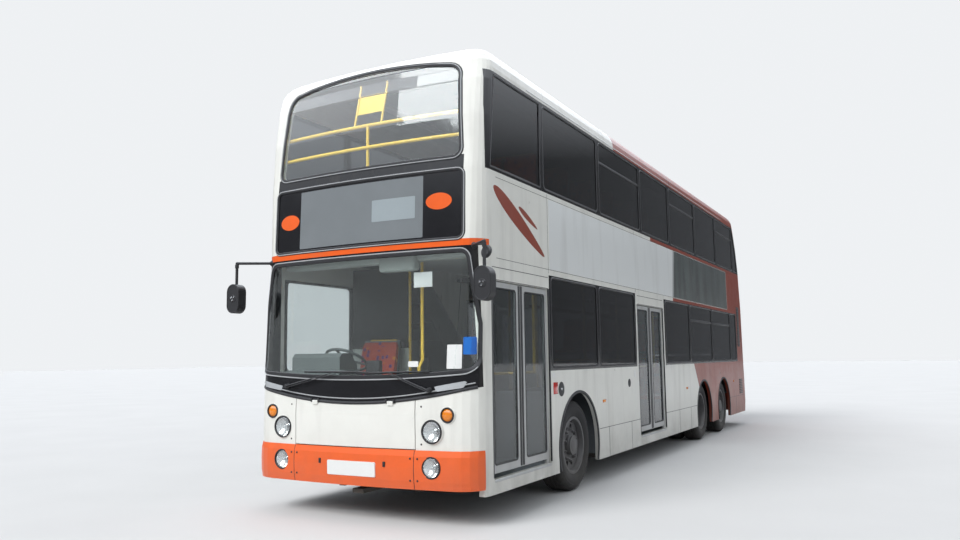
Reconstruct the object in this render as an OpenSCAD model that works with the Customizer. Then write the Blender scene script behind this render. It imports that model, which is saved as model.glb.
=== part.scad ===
// Double-deck airport passenger bus on three axles, front towards -Y, doors on the +X side.
// Heights are measured from the road, and lengths from the foremost plane of the front.

/* [Body] */
// Length of the body from the front plane to the tail
body_l = 12000; // [11600:50:12600]
// Width of the body
body_w = 2500; // [2440:10:2550]
// Height of the roof's crown
body_h = 4400; // [4300:10:4500]
// Thickness of the body walls
wall_t = 50; // [35:5:60]
// Height of the skirt's lower edge
skirt_z = 262; // [240:2:290]
// Bow of the front in plan
front_bow = 94; // [60:2:130]
// Corner radius of the lower front in plan
front_corner_r = 260; // [230:5:290]
// Corner radius of the upper front in plan
upper_corner_r = 150; // [120:5:180]
// Corner radius of the rear in plan
rear_corner_r = 150; // [100:5:200]
// Radius between side and roof
roof_edge_r = 250; // [200:5:280]
// Rise of the roof's camber
camber_rise = 67; // [40:1:80]

/* [Front] */
// Height of the bumper's top seam
bumper_top_z = 650; // [620:5:690]
// Height of the windscreen's foot at the middle
screen_foot_z = 1283; // [1270:1:1310]
// Height of the windscreen's top
screen_top_z = 2357; // [2330:1:2380]
// Height of the seam between the lower and the upper front
front_seam_z = 2430; // [2420:2:2450]
// Height of the destination panel's lower edge
sign_foot_z = 2489; // [2480:1:2510]
// Height of the destination panel's upper edge
sign_top_z = 3101; // [3060:5:3120]
// Height of the upper windscreen's foot
upper_foot_z = 3233; // [3210:1:3250]
// Depth of the upper windscreen's top below the roof's crown
upper_top_drop = 216; // [200:2:260]
// Half width of the opening for the front flap
flap_half_w = 671; // [640:1:690]
// Depth of the cowl's lower edge at the middle, below its ends
cowl_sag = 141; // [60:1:150]

/* [Windows] */
// Height of the lower windows' sill
lower_sill_z = 1320; // [1300:5:1360]
// Height of the lower windows' head
lower_head_z = 2245; // [2200:5:2270]
// Height of the upper windows' sill
upper_sill_z = 3140; // [3110:5:3180]
// Depth of the upper windows' head below the roof's crown
upper_head_drop = 380; // [370:5:420]
// Width of a window pillar
pillar_w = 70; // [50:5:100]
// Thickness of the glass
glass_t = 10; // [6:1:14]
// Depth of the glass behind the outer surface
glass_set = 5; // [2:1:10]

/* [Doors] */
// Front edge of the front doorway
door1_y = 400; // [396:1:410]
// Width of the front doorway
door1_w = 1240; // [1200:5:1260]
// Front edge of the centre doorway
door2_y = 4580; // [4560:5:4640]
// Width of the centre doorway
door2_w = 1220; // [1180:5:1240]
// Height of the doorways' head
door_head_z = 2110; // [2080:5:2140]
// Lower edge of the door leaves
leaf_foot_z = 430; // [420:2:450]
// Thickness of a door leaf
leaf_t = 40; // [30:2:46]
// Depth of the leaves behind the outer surface
leaf_set = 25; // [15:1:30]
// Gap round a moving leaf or lid
leaf_gap = 8; // [6:1:12]

/* [Wheels] */
// Distance of the front axle from the front plane
front_axle_y = 2410; // [2380:5:2440]
// Distance of the tag axle from the tail
rear_overhang = 2220; // [2180:5:2260]
// Distance between drive and tag axles
tag_pitch = 1580; // [1560:5:1600]
// Radius of a tyre
tyre_r = 480; // [470:1:490]
// Width of a tyre
tyre_w = 275; // [255:1:285]
// Place of the outer face of the outer tyres
tyre_face_x = 1190; // [1170:1:1200]
// Gap between twin tyres
twin_gap = 45; // [35:1:60]
// Radius of the tyre's seat on the rim
seat_r = 290; // [285:1:295]
// Radius of the front wheel arches
front_arch_r = 580; // [570:5:600]
// Radius of the rear wheel arches
rear_arch_r = 530; // [525:5:550]
// Distance of a kingpin from the middle
kingpin_x = 900; // [880:5:910]
// Radius of the stub axles
stub_r = 40; // [36:1:46]

/* [Decks] */
// Height of the low floor
floor_z = 380; // [376:1:390]
// Thickness of the floors
floor_t = 50; // [40:2:56]
// Height of the rear gangway's floor
gangway_z = 720; // [710:5:740]
// Height of the platforms over the rear wheels
platform_z = 1100; // [1090:5:1130]
// Distance of the step up to the rear from the drive axle
rear_step_ahead = 850; // [800:10:900]
// Rise of the cab's floor over the low floor
cab_lift = 250; // [200:10:280]
// Height of the upper floor
upper_floor_z = 2560; // [2540:5:2590]
// Distance between seat rows
seat_pitch = 760; // [740:5:800]

/* [Hidden] */
$fn = 48;
white = [0.88, 0.87, 0.84];
orange = [0.86, 0.32, 0.12];
black = [0.06, 0.06, 0.07];
grey = [0.45, 0.46, 0.47];
steel = [0.62, 0.63, 0.65];
glass_colour = [0.15, 0.18, 0.2, 0.5];
yellow = [0.93, 0.75, 0.1];
lens_colour = [0.9, 0.9, 0.85];
half_w = body_w / 2;
inner_x = half_w - wall_t;
// Clearance at a seat, and clearance of a turning fit
fit = 0.3;
running = 0.05;
cant_z = body_h - roof_edge_r - camber_rise;
shoulder_w = half_w - roof_edge_r;
tag_axle_y = body_l - rear_overhang;
drive_axle_y = tag_axle_y - tag_pitch;
rear_step_y = drive_axle_y - rear_step_ahead;
axle_z = tyre_r;
upper_top_z = body_h - upper_top_drop;
upper_head_z = body_h - upper_head_drop;
// Mirror heads: place of the middle, height range, width and depth
mirror_x = 1400;
mirror_y = -10;
mirror_z0 = 1900;
mirror_z1 = 2190;
mirror_w = 160;
mirror_d = 100;
mirror_front_y = mirror_y - mirror_d / 2;
mid_y = (mirror_front_y + body_l) / 2;
overshoot = 10;

// The raked upper part: its foot, and the shares of its height at which the rake changes
rake_z = upper_foot_z + 17;
rake_low = 0.432;
rake_high = 0.852;
function raked(share) = rake_z + (cant_z - rake_z) * share;
// Columns: height, setback of the front, setback of the tail
profile = [
    [skirt_z, 40, 70],
    [480, 30, 0],
    [950, 22, 10],
    [screen_foot_z, 40, 40],
    [screen_top_z, 127, 78],
    [upper_sill_z - 20, 153, 190],
    [rake_z, 167, 225],
    [raked(rake_low), 190, 350],
    [raked(rake_high), 235, 540]
];
// Columns: height, corner radius of the front in plan
corner_radii = [
    [screen_foot_z, front_corner_r],
    [screen_top_z, (front_corner_r + upper_corner_r) / 2],
    [rake_z, upper_corner_r]
];
cant_front = 270;
cant_rear = 620;
front_dome = 295;
// Extra setbacks of front and tail along the camber
camber_front = 380;
camber_rear = 700;
rear_dome = 320;
edge_steps = 6;
camber_steps = 4;
crown_w = 60;

// Columns: height, half width, setback of the front, setback of the tail
stations = concat(
    [for (row = profile) [row[0], half_w, row[1], row[2]]],
    [for (i = [0 : edge_steps]) let (a = 90 * i / edge_steps)
        [cant_z + roof_edge_r * sin(a), half_w - roof_edge_r * (1 - cos(a)),
            cant_front + front_dome * (1 - cos(a)), cant_rear + rear_dome * (1 - cos(a))]],
    [for (i = [1 : camber_steps]) let (k = i / camber_steps, w = shoulder_w + (crown_w - shoulder_w) * k)
        [body_h - camber_rise * pow(w / shoulder_w, 2), w,
            cant_front + front_dome + camber_front * k * k, cant_rear + rear_dome + camber_rear * k * k]]
);
function column(i) = [for (s = stations) [s[0], s[i]]];
width_at = column(1);
front_at = column(2);
rear_at = column(3);
top_z = stations[len(stations) - 1][0];

// Outline in plan: half width w, front plane f, tail r, front corner rf, rear corner rr
function bow(x) = front_bow * pow(x / half_w, 2);
function arc(cx, cy, r, a0, a1, n) =
    [for (i = [0 : n]) let (a = a0 + (a1 - a0) * i / n) [cx + r * cos(a), cy + r * sin(a)]];
front_n = 6;
corner_n = 5;
rear_n = 3;
function outline(w, f, r, rf, rr) =
    let (
        b = atan(2 * front_bow * w / pow(half_w, 2)),
        xe = w - rf + rf * sin(b),
        cy = f + bow(xe) + rf * cos(b),
        right = arc(w - rf, cy, rf, b - 90, 0, corner_n),
        left = [for (i = [corner_n : -1 : 1]) [-right[i][0], right[i][1]]]
    )
    concat(
        [for (i = [-front_n : front_n - 1]) let (x = xe * i / front_n) [x, f + bow(x)]],
        right,
        arc(w - rr, r - rr, rr, 0, 90, rear_n),
        arc(-w + rr, r - rr, rr, 90, 180, rear_n),
        left
    );
// The body's outline at height z, inset by t, with the roof lowered by t as well
function ring(z, t) =
    let (w = lookup(z + t, width_at) - t, f = lookup(z + t, front_at) + t,
        r = body_l - lookup(z + t, rear_at) - t)
    outline(w, f, r, min(lookup(z + t, corner_radii) - t, w * 0.6), min(rear_corner_r - t, w * 0.5));
// Where the side becomes straight behind the front corner, and before the rear corner
function front_seam(z) =
    let (o = ring(z, 0)) o[2 * front_n + corner_n][1];
function rear_seam(z) = body_l - lookup(z, rear_at) - rear_corner_r;

module loft(zs, rings) {
    n = len(rings[0]);
    m = len(zs);
    points = [for (k = [0 : m - 1]) for (p = rings[k]) [p[0], p[1], zs[k]]];
    walls = [for (k = [0 : m - 2]) for (i = [0 : n - 1])
        let (a = k * n + i, b = k * n + (i + 1) % n) each [[a, a + n, b + n], [a, b + n, b]]];
    floor_face = [for (i = [0 : n - 1]) i];
    roof_face = [for (i = [n - 1 : -1 : 0]) (m - 1) * n + i];
    polyhedron(points, concat([floor_face], walls, [roof_face]));
}
// The body as a solid between two heights, inset by t
module form(z0, z1, t) {
    zs = concat([z0], [for (s = stations) if (s[0] - t > z0 + 1 && s[0] - t < z1 - 1) s[0] - t], [z1]);
    loft(zs, [for (z = zs) ring(z, t)]);
}
// The body's skin between two heights, from depth t0 to depth t1
module skin(z0, z1, t0, t1) {
    difference() {
        form(z0, z1, t0);
        form(z0 - overshoot, z1 + overshoot, t1);
    }
}
// The roof's skin, closed at the top
module roof_skin(z0) {
    difference() {
        form(z0, top_z, 0);
        form(z0 - overshoot, top_z - wall_t, wall_t);
    }
}
// A prism along Y from an outline in X and Z
module along_y(y0, y1, points) {
    translate([0, y1, 0]) rotate([90, 0, 0]) linear_extrude(y1 - y0) polygon(points);
}
// A prism along X from an outline in Y and Z
module along_x(x0, x1, points) {
    translate([x0, 0, 0]) rotate([90, 0, 90]) linear_extrude(x1 - x0) polygon(points);
}
// Rounded quadrilateral: lower half width, upper half width, heights and corner radii, centred on X
function trapeze(w0, w1, z0, z1, r0, r1) = concat(
    arc(w0 - r0, z0 + r0, r0, -90, 0, 4), arc(w1 - r1, z1 - r1, r1, 0, 90, 4),
    arc(-w1 + r1, z1 - r1, r1, 90, 180, 4), arc(-w0 + r0, z0 + r0, r0, 180, 270, 4));
function rounded(y0, z0, y1, z1, r) = concat(
    arc(y1 - r, z0 + r, r, -90, 0, 4), arc(y1 - r, z1 - r, r, 0, 90, 4),
    arc(y0 + r, z1 - r, r, 90, 180, 4), arc(y0 + r, z0 + r, r, 180, 270, 4));
// A closed outline from its right half, drawn from below upwards
function both_halves(right) = concat(right, [for (i = [len(right) - 1 : -1 : 0]) [-right[i][0], right[i][1]]]);
// A box by its corners
module block(low, high) {
    translate(low) cube(high - low);
}
// A round bar between two points
module bar(a, b, r, n = 24) {
    d = b - a;
    translate(a) rotate([0, acos(d[2] / norm(d)), atan2(d[1], d[0])]) cylinder(h = norm(d), r = r, $fn = n);
}
module placed() {
    translate([0, -mid_y, 0]) children();
}
module both_sides() {
    children();
    mirror([1, 0, 0]) children();
}

// Regions of the body that the front and rear pieces fill
dome_front_y = 1050;
dome_rear_y = body_l - 1750;
seam_heights = concat([skirt_z - overshoot], [for (row = profile) row[0]], [cant_z]);
front_region = concat(
    [[-200, skirt_z - overshoot]], [for (z = seam_heights) [front_seam(z), z]],
    [[dome_front_y, cant_z], [dome_front_y, body_h + overshoot], [-200, body_h + overshoot]]);
rear_region = concat(
    [for (i = [len(seam_heights) - 1 : -1 : 0]) [rear_seam(seam_heights[i]), seam_heights[i]]],
    [[body_l + 200, skirt_z - overshoot], [body_l + 200, body_h + overshoot], [dome_rear_y,
        body_h + overshoot],
        [dome_rear_y, cant_z]]);
side_region = concat(
    [for (z = concat([skirt_z], [for (row = profile) if (row[0] > skirt_z) row[0]],
        [cant_z])) [front_seam(z), z]],
    [for (z = concat([cant_z],
        [for (i = [len(profile) - 1 : -1 : 0]) if (profile[i][0] > skirt_z) profile[i][0]], [skirt_z]))
        [rear_seam(z), z]]);

// Front: each cut-out is a prism from ahead of the front plane
ahead_y = -200;
screen_reach_y = 700;
upper_reach_y = 900;
screen_foot_w = 1205;
screen_top_w = 1116;
// The windscreen's foot rises to the sides, and its sides lean in above a height
screen_rise = 54;
screen_foot_r = 100;
screen_top_r = 60;
lean_z = 1730;
sign_w = 1070;
sign_r = 50;
cowl_ends_z = 1179;
edge_n = 10;
cowl_lap = 30;
foot_x = screen_foot_w - screen_foot_r;
function screen_foot(x) = screen_foot_z + screen_rise * pow(x / screen_foot_w, 2);
function screen_right(g) =
    let (w = screen_foot_w - g, r = screen_foot_r - g, t = screen_top_w - g, q = screen_top_r - g)
    concat(
        [for (i = [1 : edge_n]) let (x = foot_x * i / edge_n) [x, screen_foot(x) + g]],
        arc(foot_x, screen_foot(foot_x) + g + r, r, -60, 0, 3),
        [[w, lean_z]],
        arc(t - q, screen_top_z - g - q, q, 10, 90, 4));
module screen_region(g) {
    along_y(ahead_y, screen_reach_y, both_halves(screen_right(g)));
}
// The upper windscreen: half widths of foot and head, the arch of its top, and its corner radii
upper_foot_w = 1040;
upper_head_w = 1000;
upper_arch = 84;
upper_arch_w = 950;
upper_foot_r = 70;
upper_head_r = 120;
arch_a = 80;
function upper_edge(x) = upper_top_z - upper_arch * pow(x / upper_arch_w, 2);
function upper_right(g) =
    let (w = upper_foot_w - g, r = upper_foot_r - g, q = upper_head_r - g, cx = upper_head_w - g - q,
        arch_x = cx + q * cos(arch_a))
    concat(
        arc(w - r, upper_foot_z + g + r, r, -90, 0, 4),
        arc(cx, upper_edge(arch_x) - g - q * sin(arch_a), q, 0, arch_a, 4),
        [for (i = [edge_n - 1 : -1 : 1]) let (x = arch_x * i / edge_n) [x, upper_edge(x) - g]]);
module upper_screen_region(g) {
    along_y(ahead_y, upper_reach_y, both_halves(upper_right(g)));
}
module sign_region(g) {
    along_y(ahead_y, screen_reach_y, trapeze(sign_w - g, sign_w - g, sign_foot_z + g,
        sign_top_z - g, sign_r, sign_r));
}
// The cowl's lower edge hangs down in the middle, and its upper edge follows the windscreen
function cowl_edge(x) = cowl_ends_z - cowl_sag * (1 - pow(x / screen_foot_w, 2));
module cowl_region(g, lap = 0) {
    w = screen_foot_w - g;
    along_y(ahead_y, screen_reach_y, concat(
        [for (i = [-edge_n : edge_n]) let (x = w * i / edge_n) [x, cowl_edge(x) + g]],
        [[w, screen_foot(w) - g]],
        [for (i = [edge_n : -1 : -edge_n]) if (i != 0) let (x = foot_x * i / edge_n) [x,
            screen_foot(x) - g + lap]],
        [[-w, screen_foot(w) - g]]));
}
// The flap's opening, raised by lap at its top and lowered by drop at its foot
module flap_region(g, lap = 0, drop = 0) {
    w = flap_half_w - g;
    along_y(ahead_y, screen_reach_y, concat(
        [for (i = [-edge_n : edge_n]) let (x = w * i / edge_n) [-x, cowl_edge(x) - g + lap]],
        [[-w, bumper_top_z + g - drop], [w, bumper_top_z + g - drop]]));
}
// The post between the front and the front doorway, as a block to cut with
post_y = 262;
post_w = 250;
module post_region(g) {
    block([half_w - post_w, post_y - g, skirt_z - overshoot], [half_w + overshoot, door1_y,
        front_seam_z + overshoot]);
}
headlamp_x = 830;
headlamp_z = 809;
headlamp_r = 92;
indicator_x = 977;
indicator_z = 951;
indicator_r = 56;
foglamp_x = 825;
foglamp_z = 508;
foglamp_r = 84;
// Columns: distance from the middle, height, radius, place of the lens's rim
front_lamps = [
    [headlamp_x, headlamp_z, headlamp_r, 56],
    [indicator_x, indicator_z, indicator_r, 74],
    [foglamp_x, foglamp_z, foglamp_r, 50]
];
bore_back = 220;
bore_l = 300;
module lamp_bores(g) {
    for (lamp = front_lamps)
        both_sides() translate([lamp[0], lamp[3] + bore_back, lamp[1]]) rotate([90, 0, 0])
            cylinder(h = bore_l, r = lamp[2] + g);
}
// Bulges of the mask round the headlamps and the indicators
pod_l = 46;
pod_rim = 12;
pod_flare = 34;
// What fills an opening of the front ends ahead of the corner post
module ahead_of_post() {
    block([-half_w, ahead_y, skirt_z], [half_w, post_y - fit, front_seam_z]);
}
module lamp_pods() {
    for (lamp = [front_lamps[0], front_lamps[1]])
        both_sides() translate([lamp[0], lamp[3] + pod_l, lamp[1]]) rotate([90, 0, 0])
            cylinder(h = pod_l, r1 = lamp[2] + pod_flare, r2 = lamp[2] + pod_rim);
}
// A hinge along X at the origin: the lid's barrel, and the pin and lugs that hold it
hinge_r = 10;
hinge_pin_r = 5;
hinge_l = 60;
hinge_leaf = 28;
hinge_reach = 30;
hinge_clear = 6;
lug_l = 20;
lug_x = hinge_l / 2 + fit + lug_l / 2;
module hinge_barrel() {
    rotate([0, 90, 0]) cylinder(h = hinge_l, r = hinge_r, center = true);
}
module hinge_bore() {
    rotate([0, 90, 0]) cylinder(h = hinge_l + 2 * lug_l, r = hinge_pin_r + running, center = true);
}
module hinge_pocket() {
    rotate([0, 90, 0]) cylinder(h = hinge_l + 2 * fit, r = hinge_r + hinge_clear, center = true);
}
// Room for the lugs in the lid
module lug_pockets() {
    for (end = [-1, 1])
        translate([end * lug_x, 0, 0]) rotate([0, 90, 0]) cylinder(h = lug_l + 2 * fit,
            r = hinge_r + hinge_clear, center = true);
}
module hinge_lugs() {
    rotate([0, 90, 0]) cylinder(h = hinge_l + 2 * fit + 2 * lug_l, r = hinge_pin_r, center = true);
    for (side = [-1, 1])
        translate([side * lug_x, 0, 0]) rotate([0, 90, 0]) cylinder(h = lug_l, r = hinge_r, center = true);
}
flap_hinge_x = 420;
flap_hinge_proud = 4;
flap_hinge_z = cowl_edge(flap_hinge_x);
flap_hinge_y = lookup(flap_hinge_z, front_at) + bow(flap_hinge_x) - flap_hinge_proud;
flap_t = 30;
module flap_hinges() {
    for (side = [-1, 1]) translate([side * flap_hinge_x, flap_hinge_y, flap_hinge_z]) children();
}
module front_mask() {
    color(white) placed() difference() {
        union() {
            intersection() {
                skin(bumper_top_z, front_seam_z, 0, wall_t);
                along_x(-half_w - overshoot, half_w + overshoot, front_region);
            }
            lamp_pods();
        }
        screen_region(0);
        cowl_region(0, overshoot);
        flap_region(0, cowl_lap, overshoot);
        lamp_bores(fit);
        post_region(fit);
    }
}
module front_flap() {
    color(white) placed() difference() {
        union() {
            intersection() {
                skin(bumper_top_z, screen_foot_z, 0, flap_t);
                flap_region(leaf_gap);
            }
            flap_hinges() {
                hinge_barrel();
                block([-hinge_l / 2, -hinge_r, -hinge_leaf], [hinge_l / 2, hinge_reach, -hinge_r / 2]);
            }
        }
        flap_hinges() hinge_bore();
        flap_hinges() lug_pockets();
    }
}
lug_foot = 2;
module cowl() {
    color(black) placed() {
        difference() {
            intersection() {
                skin(bumper_top_z, screen_foot_z + screen_rise, 0, wall_t);
                cowl_region(fit);
                ahead_of_post();
            }
            flap_hinges() hinge_pocket();
        }
        flap_hinges() {
            hinge_lugs();
            for (end = [-1, 1]) translate([end * lug_x, 0, 0])
                block([-lug_l / 2, -hinge_r, lug_foot], [lug_l / 2, hinge_reach, hinge_leaf]);
        }
    }
}
module windscreens() {
    color(glass_colour) placed() {
        intersection() {
            skin(screen_foot_z - overshoot, screen_top_z + overshoot, glass_set, glass_set + glass_t);
            screen_region(fit);
            ahead_of_post();
        }
        intersection() {
            skin(upper_foot_z - overshoot, upper_top_z + overshoot, glass_set, glass_set + glass_t);
            upper_screen_region(fit);
            along_x(-half_w, half_w, front_region);
        }
    }
}
module destination_panel() {
    color(black) placed() intersection() {
        skin(sign_foot_z - overshoot, sign_top_z + overshoot, glass_set, glass_set + glass_t * 2);
        sign_region(fit);
        along_x(-half_w, half_w, front_region);
    }
}
module front_upper_shell() {
    color(white) placed() difference() {
        intersection() {
            roof_skin(front_seam_z);
            along_x(-half_w - overshoot, half_w + overshoot, front_region);
        }
        sign_region(0);
        upper_screen_region(0);
    }
}
// Columns: height, front plane
bumper_rows = [[320, 20], [390, 6], [500, 0], [600, 4], [bumper_top_z - fit, 20]];
bumper_back_y = front_seam(bumper_top_z) - fit;
module bumper_form(t) {
    zs = [for (row = bumper_rows) row[0]];
    ends = len(zs) - 1;
    heights = [for (i = [0 : ends])
        t == 0 ? zs[i] : i == 0 ? zs[0] - overshoot : i == ends ? zs[ends] + overshoot : zs[i]];
    loft(heights, [for (row = bumper_rows)
        outline(half_w - t, row[1] + t, body_l / 2, front_corner_r - t, rear_corner_r)]);
}
module bumper_front() {
    color(orange) placed() difference() {
        intersection() {
            difference() {
                bumper_form(0);
                bumper_form(wall_t);
            }
            block([-half_w - overshoot, ahead_y, 0], [half_w + overshoot, bumper_back_y, bumper_top_z]);
        }
        lamp_bores(fit);
        post_region(fit);
    }
}

// Sides
door1_end = door1_y + door1_w;
door2_end = door2_y + door2_w;
exit_y0 = 5290;
exit_y1 = 6000;
exit_z0 = 480;
exit_z1 = 2200;
// Pillars of the tail, from the rear end
tail_ins = [3000, 1400, 810];
upper_tail_ins = [4050, 2440, 880];
tail_bays = [for (v = tail_ins) body_l - v];
lower_mullions_1 = [door1_end + 25, (door1_end + door2_y) / 2 - 30, door2_y - 85];
lower_mullions_2 = concat([door2_end + 105, rear_step_y + 40], tail_bays);
upper_mullions = concat([1530, 3190, 4850, 6320], [for (v = upper_tail_ins) body_l - v]);
offside_lower_1 = [480, 1640];
offside_lower_2 = [4300, exit_y0 - 90];
offside_lower_3 = concat([exit_y1 + 130, rear_step_y + 40], tail_bays);
window_r = 60;
// A bay narrower than this has no window
bay_min = pillar_w + 3 * window_r;
// Columns: the edges of the bays, sill, head
nearside_rows = [for (edges = [lower_mullions_1, lower_mullions_2]) [edges, lower_sill_z, lower_head_z]];
offside_rows = [for (edges = [offside_lower_1, offside_lower_2, offside_lower_3]) [edges,
    lower_sill_z, lower_head_z]];
upper_rows = [[upper_mullions, upper_sill_z, upper_head_z]];
module panes(rows, x0, x1, g) {
    in = pillar_w / 2 + g;
    for (row = rows) for (i = [0 : len(row[0]) - 2]) if (row[0][i + 1] - row[0][i] > bay_min)
        along_x(x0, x1, rounded(row[0][i] + in, row[1] + g, row[0][i + 1] - in, row[2] - g, window_r - g));
}
// The last upper pane slants with the tail
last_sill_y = body_l - 450;
last_mid_y = body_l - 530;
last_head_y = body_l - 800;
last_mid_z = upper_sill_z + (upper_head_z - upper_sill_z) * 0.41;
module last_pane(x0, x1, g) {
    y0 = upper_mullions[len(upper_mullions) - 1] + pillar_w / 2 + g;
    along_x(x0, x1, [[y0, upper_sill_z + g], [last_sill_y - g, upper_sill_z + g],
        [last_mid_y - g, last_mid_z], [last_head_y - g, upper_head_z - g], [y0, upper_head_z - g]]);
}
// The first upper pane slants with the front
first_in = 12;
module first_pane(x0, x1, g) {
    y1 = upper_mullions[0] - pillar_w / 2 - g;
    along_x(x0, x1, [[front_seam(upper_sill_z) + first_in + g, upper_sill_z + g], [y1, upper_sill_z + g],
        [y1, upper_head_z - g], [front_seam(upper_head_z) + first_in + g, upper_head_z - g]]);
}
module arches(x0, x1) {
    translate([x0, front_axle_y, axle_z]) rotate([0, 90, 0]) cylinder(h = x1 - x0, r = front_arch_r, $fn = 96);
    for (y = [drive_axle_y, tag_axle_y])
        translate([x0, y, axle_z]) rotate([0, 90, 0]) cylinder(h = x1 - x0, r = rear_arch_r, $fn = 96);
    for (pair = [[front_axle_y, front_arch_r], [drive_axle_y, rear_arch_r], [tag_axle_y, rear_arch_r]])
        block([x0, pair[0] - pair[1], 0], [x1, pair[0] + pair[1], axle_z]);
}
module side_wall() {
    along_x(inner_x, half_w, side_region);
}
module doorway(y, w) {
    block([shoulder_w, y, floor_z + sill_lift], [half_w + overshoot, y + w, door_head_z + leaf_gap]);
}
sill_lift = 5;
module nearside_panel() {
    color(white) placed() difference() {
        union() {
            side_wall();
            intersection() {
                skin(skirt_z, front_seam_z, 0, wall_t);
                post_region(0);
            }
        }
        panes(concat(nearside_rows, upper_rows), inner_x - overshoot, half_w + overshoot, 0);
        last_pane(inner_x - overshoot, half_w + overshoot, 0);
        first_pane(inner_x - overshoot, half_w + overshoot, 0);
        arches(inner_x - overshoot, half_w + overshoot);
        doorway(door1_y, door1_w);
        doorway(door2_y, door2_w);
    }
}
exit_hinge_y = exit_y0 + leaf_gap;
exit_hinge_x = -half_w;
exit_hinge_zs = [760, 1900];
// Reach of the emergency door's hinges on the wall and on the door
exit_lug = 40;
exit_leaf = 45;
exit_frame = 120;
exit_head = 140;
function exit_glass(g) = rounded(exit_y0 + exit_frame + g, lower_sill_z + g, exit_y1 - exit_frame - g,
    lower_head_z - exit_head - g, window_r - g);
module offside_panel() {
    color(white) placed() {
        difference() {
            mirror([1, 0, 0]) side_wall();
            panes(concat(offside_rows, upper_rows), -half_w - overshoot, -inner_x + overshoot, 0);
            last_pane(-half_w - overshoot, -inner_x + overshoot, 0);
            first_pane(-half_w - overshoot, -inner_x + overshoot, 0);
            arches(-half_w - overshoot, -inner_x + overshoot);
            block([-half_w - overshoot, exit_y0, exit_z0], [-inner_x + overshoot, exit_y1, exit_z1]);
            for (z = exit_hinge_zs) translate([exit_hinge_x, exit_hinge_y, z]) rotate([0, 90,
                0]) hinge_pocket();
        }
        for (z = exit_hinge_zs) translate([exit_hinge_x, exit_hinge_y, z]) {
            rotate([0, 90, 0]) hinge_lugs();
            for (end = [-1, 1]) translate([0, 0, end * lug_x])
                block([-hinge_r, -exit_lug, -lug_l / 2], [0, 0, lug_l / 2]);
        }
    }
}
module emergency_door() {
    color(white) placed() difference() {
        union() {
            block([-half_w, exit_y0 + leaf_gap, exit_z0 + leaf_gap], [-inner_x, exit_y1 - leaf_gap,
                exit_z1 - leaf_gap]);
            for (z = exit_hinge_zs) translate([exit_hinge_x, exit_hinge_y, z]) {
                rotate([0, 90, 0]) hinge_barrel();
                block([-hinge_r, 0, -hinge_l / 2], [hinge_pin_r, exit_leaf, hinge_l / 2]);
            }
        }
        for (z = exit_hinge_zs) translate([exit_hinge_x, exit_hinge_y, z]) rotate([0, 90, 0]) hinge_bore();
        for (z = exit_hinge_zs) for (end = [-1, 1])
            translate([exit_hinge_x, exit_hinge_y, z + end * lug_x])
                cylinder(h = lug_l + 2 * fit, r = hinge_r + hinge_clear, center = true);
        along_x(-half_w - overshoot, -inner_x + overshoot, exit_glass(0));
    }
}
module emergency_door_glass() {
    color(glass_colour) placed() along_x(-half_w + glass_set, -half_w + glass_set + glass_t, exit_glass(fit));
}
module windows() {
    color(glass_colour) placed() {
        x1 = half_w - glass_set;
        x0 = x1 - glass_t;
        panes(concat(nearside_rows, upper_rows), x0, x1, fit);
        last_pane(x0, x1, fit);
        first_pane(x0, x1, fit);
        panes(concat(offside_rows, upper_rows), -x1, -x0, fit);
        last_pane(-x1, -x0, fit);
        first_pane(-x1, -x0, fit);
        intersection() {
            skin(rear_glass_z0 - overshoot, rear_glass_z1 + overshoot, glass_set, glass_set + glass_t);
            rear_window_region(fit);
        }
    }
}

// Roof and rear
rear_glass_z0 = 3240;
rear_glass_z1 = body_h - 500;
rear_glass_w = 900;
rear_glass_lean = 60;
rear_glass_r = 80;
rear_glass_in = 1500;
engine_door_z0 = 720;
engine_door_z1 = 1760;
engine_door_w = 900;
engine_door_r = 20;
engine_door_t = 35;
module rear_window_region(g) {
    along_y(body_l - rear_glass_in, body_l, trapeze(rear_glass_w - g, rear_glass_w - rear_glass_lean - g,
        rear_glass_z0 + g, rear_glass_z1 - g, rear_glass_r, rear_glass_r));
}
module engine_door_region(g) {
    along_y(body_l - rear_corner_r, body_l + overshoot, trapeze(engine_door_w - g, engine_door_w - g,
        engine_door_z0 + g, engine_door_z1 - g, engine_door_r, engine_door_r));
}
module roof() {
    color(white) placed() intersection() {
        roof_skin(cant_z);
        block([-half_w - overshoot, dome_front_y, cant_z], [half_w + overshoot, dome_rear_y,
            body_h + overshoot]);
    }
}
// Columns: distance from the middle, height, radius
rear_lamps = [[1090, 860, 55], [1090, 1000, 55], [1090, 1140, 55], [1090, 720, 45]];
module rear_lamp_bores(g) {
    for (lamp = rear_lamps)
        both_sides() translate([lamp[0], body_l + overshoot, lamp[1]]) rotate([90, 0, 0])
            cylinder(h = bore_back, r = lamp[2] + g);
}
engine_hinge_x = 600;
engine_hinge_proud = 4;
engine_hinge_z = engine_door_z1 + 6;
engine_hinge_y = body_l - lookup(engine_door_z1, rear_at) + engine_hinge_proud;
engine_lug = 40;
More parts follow.
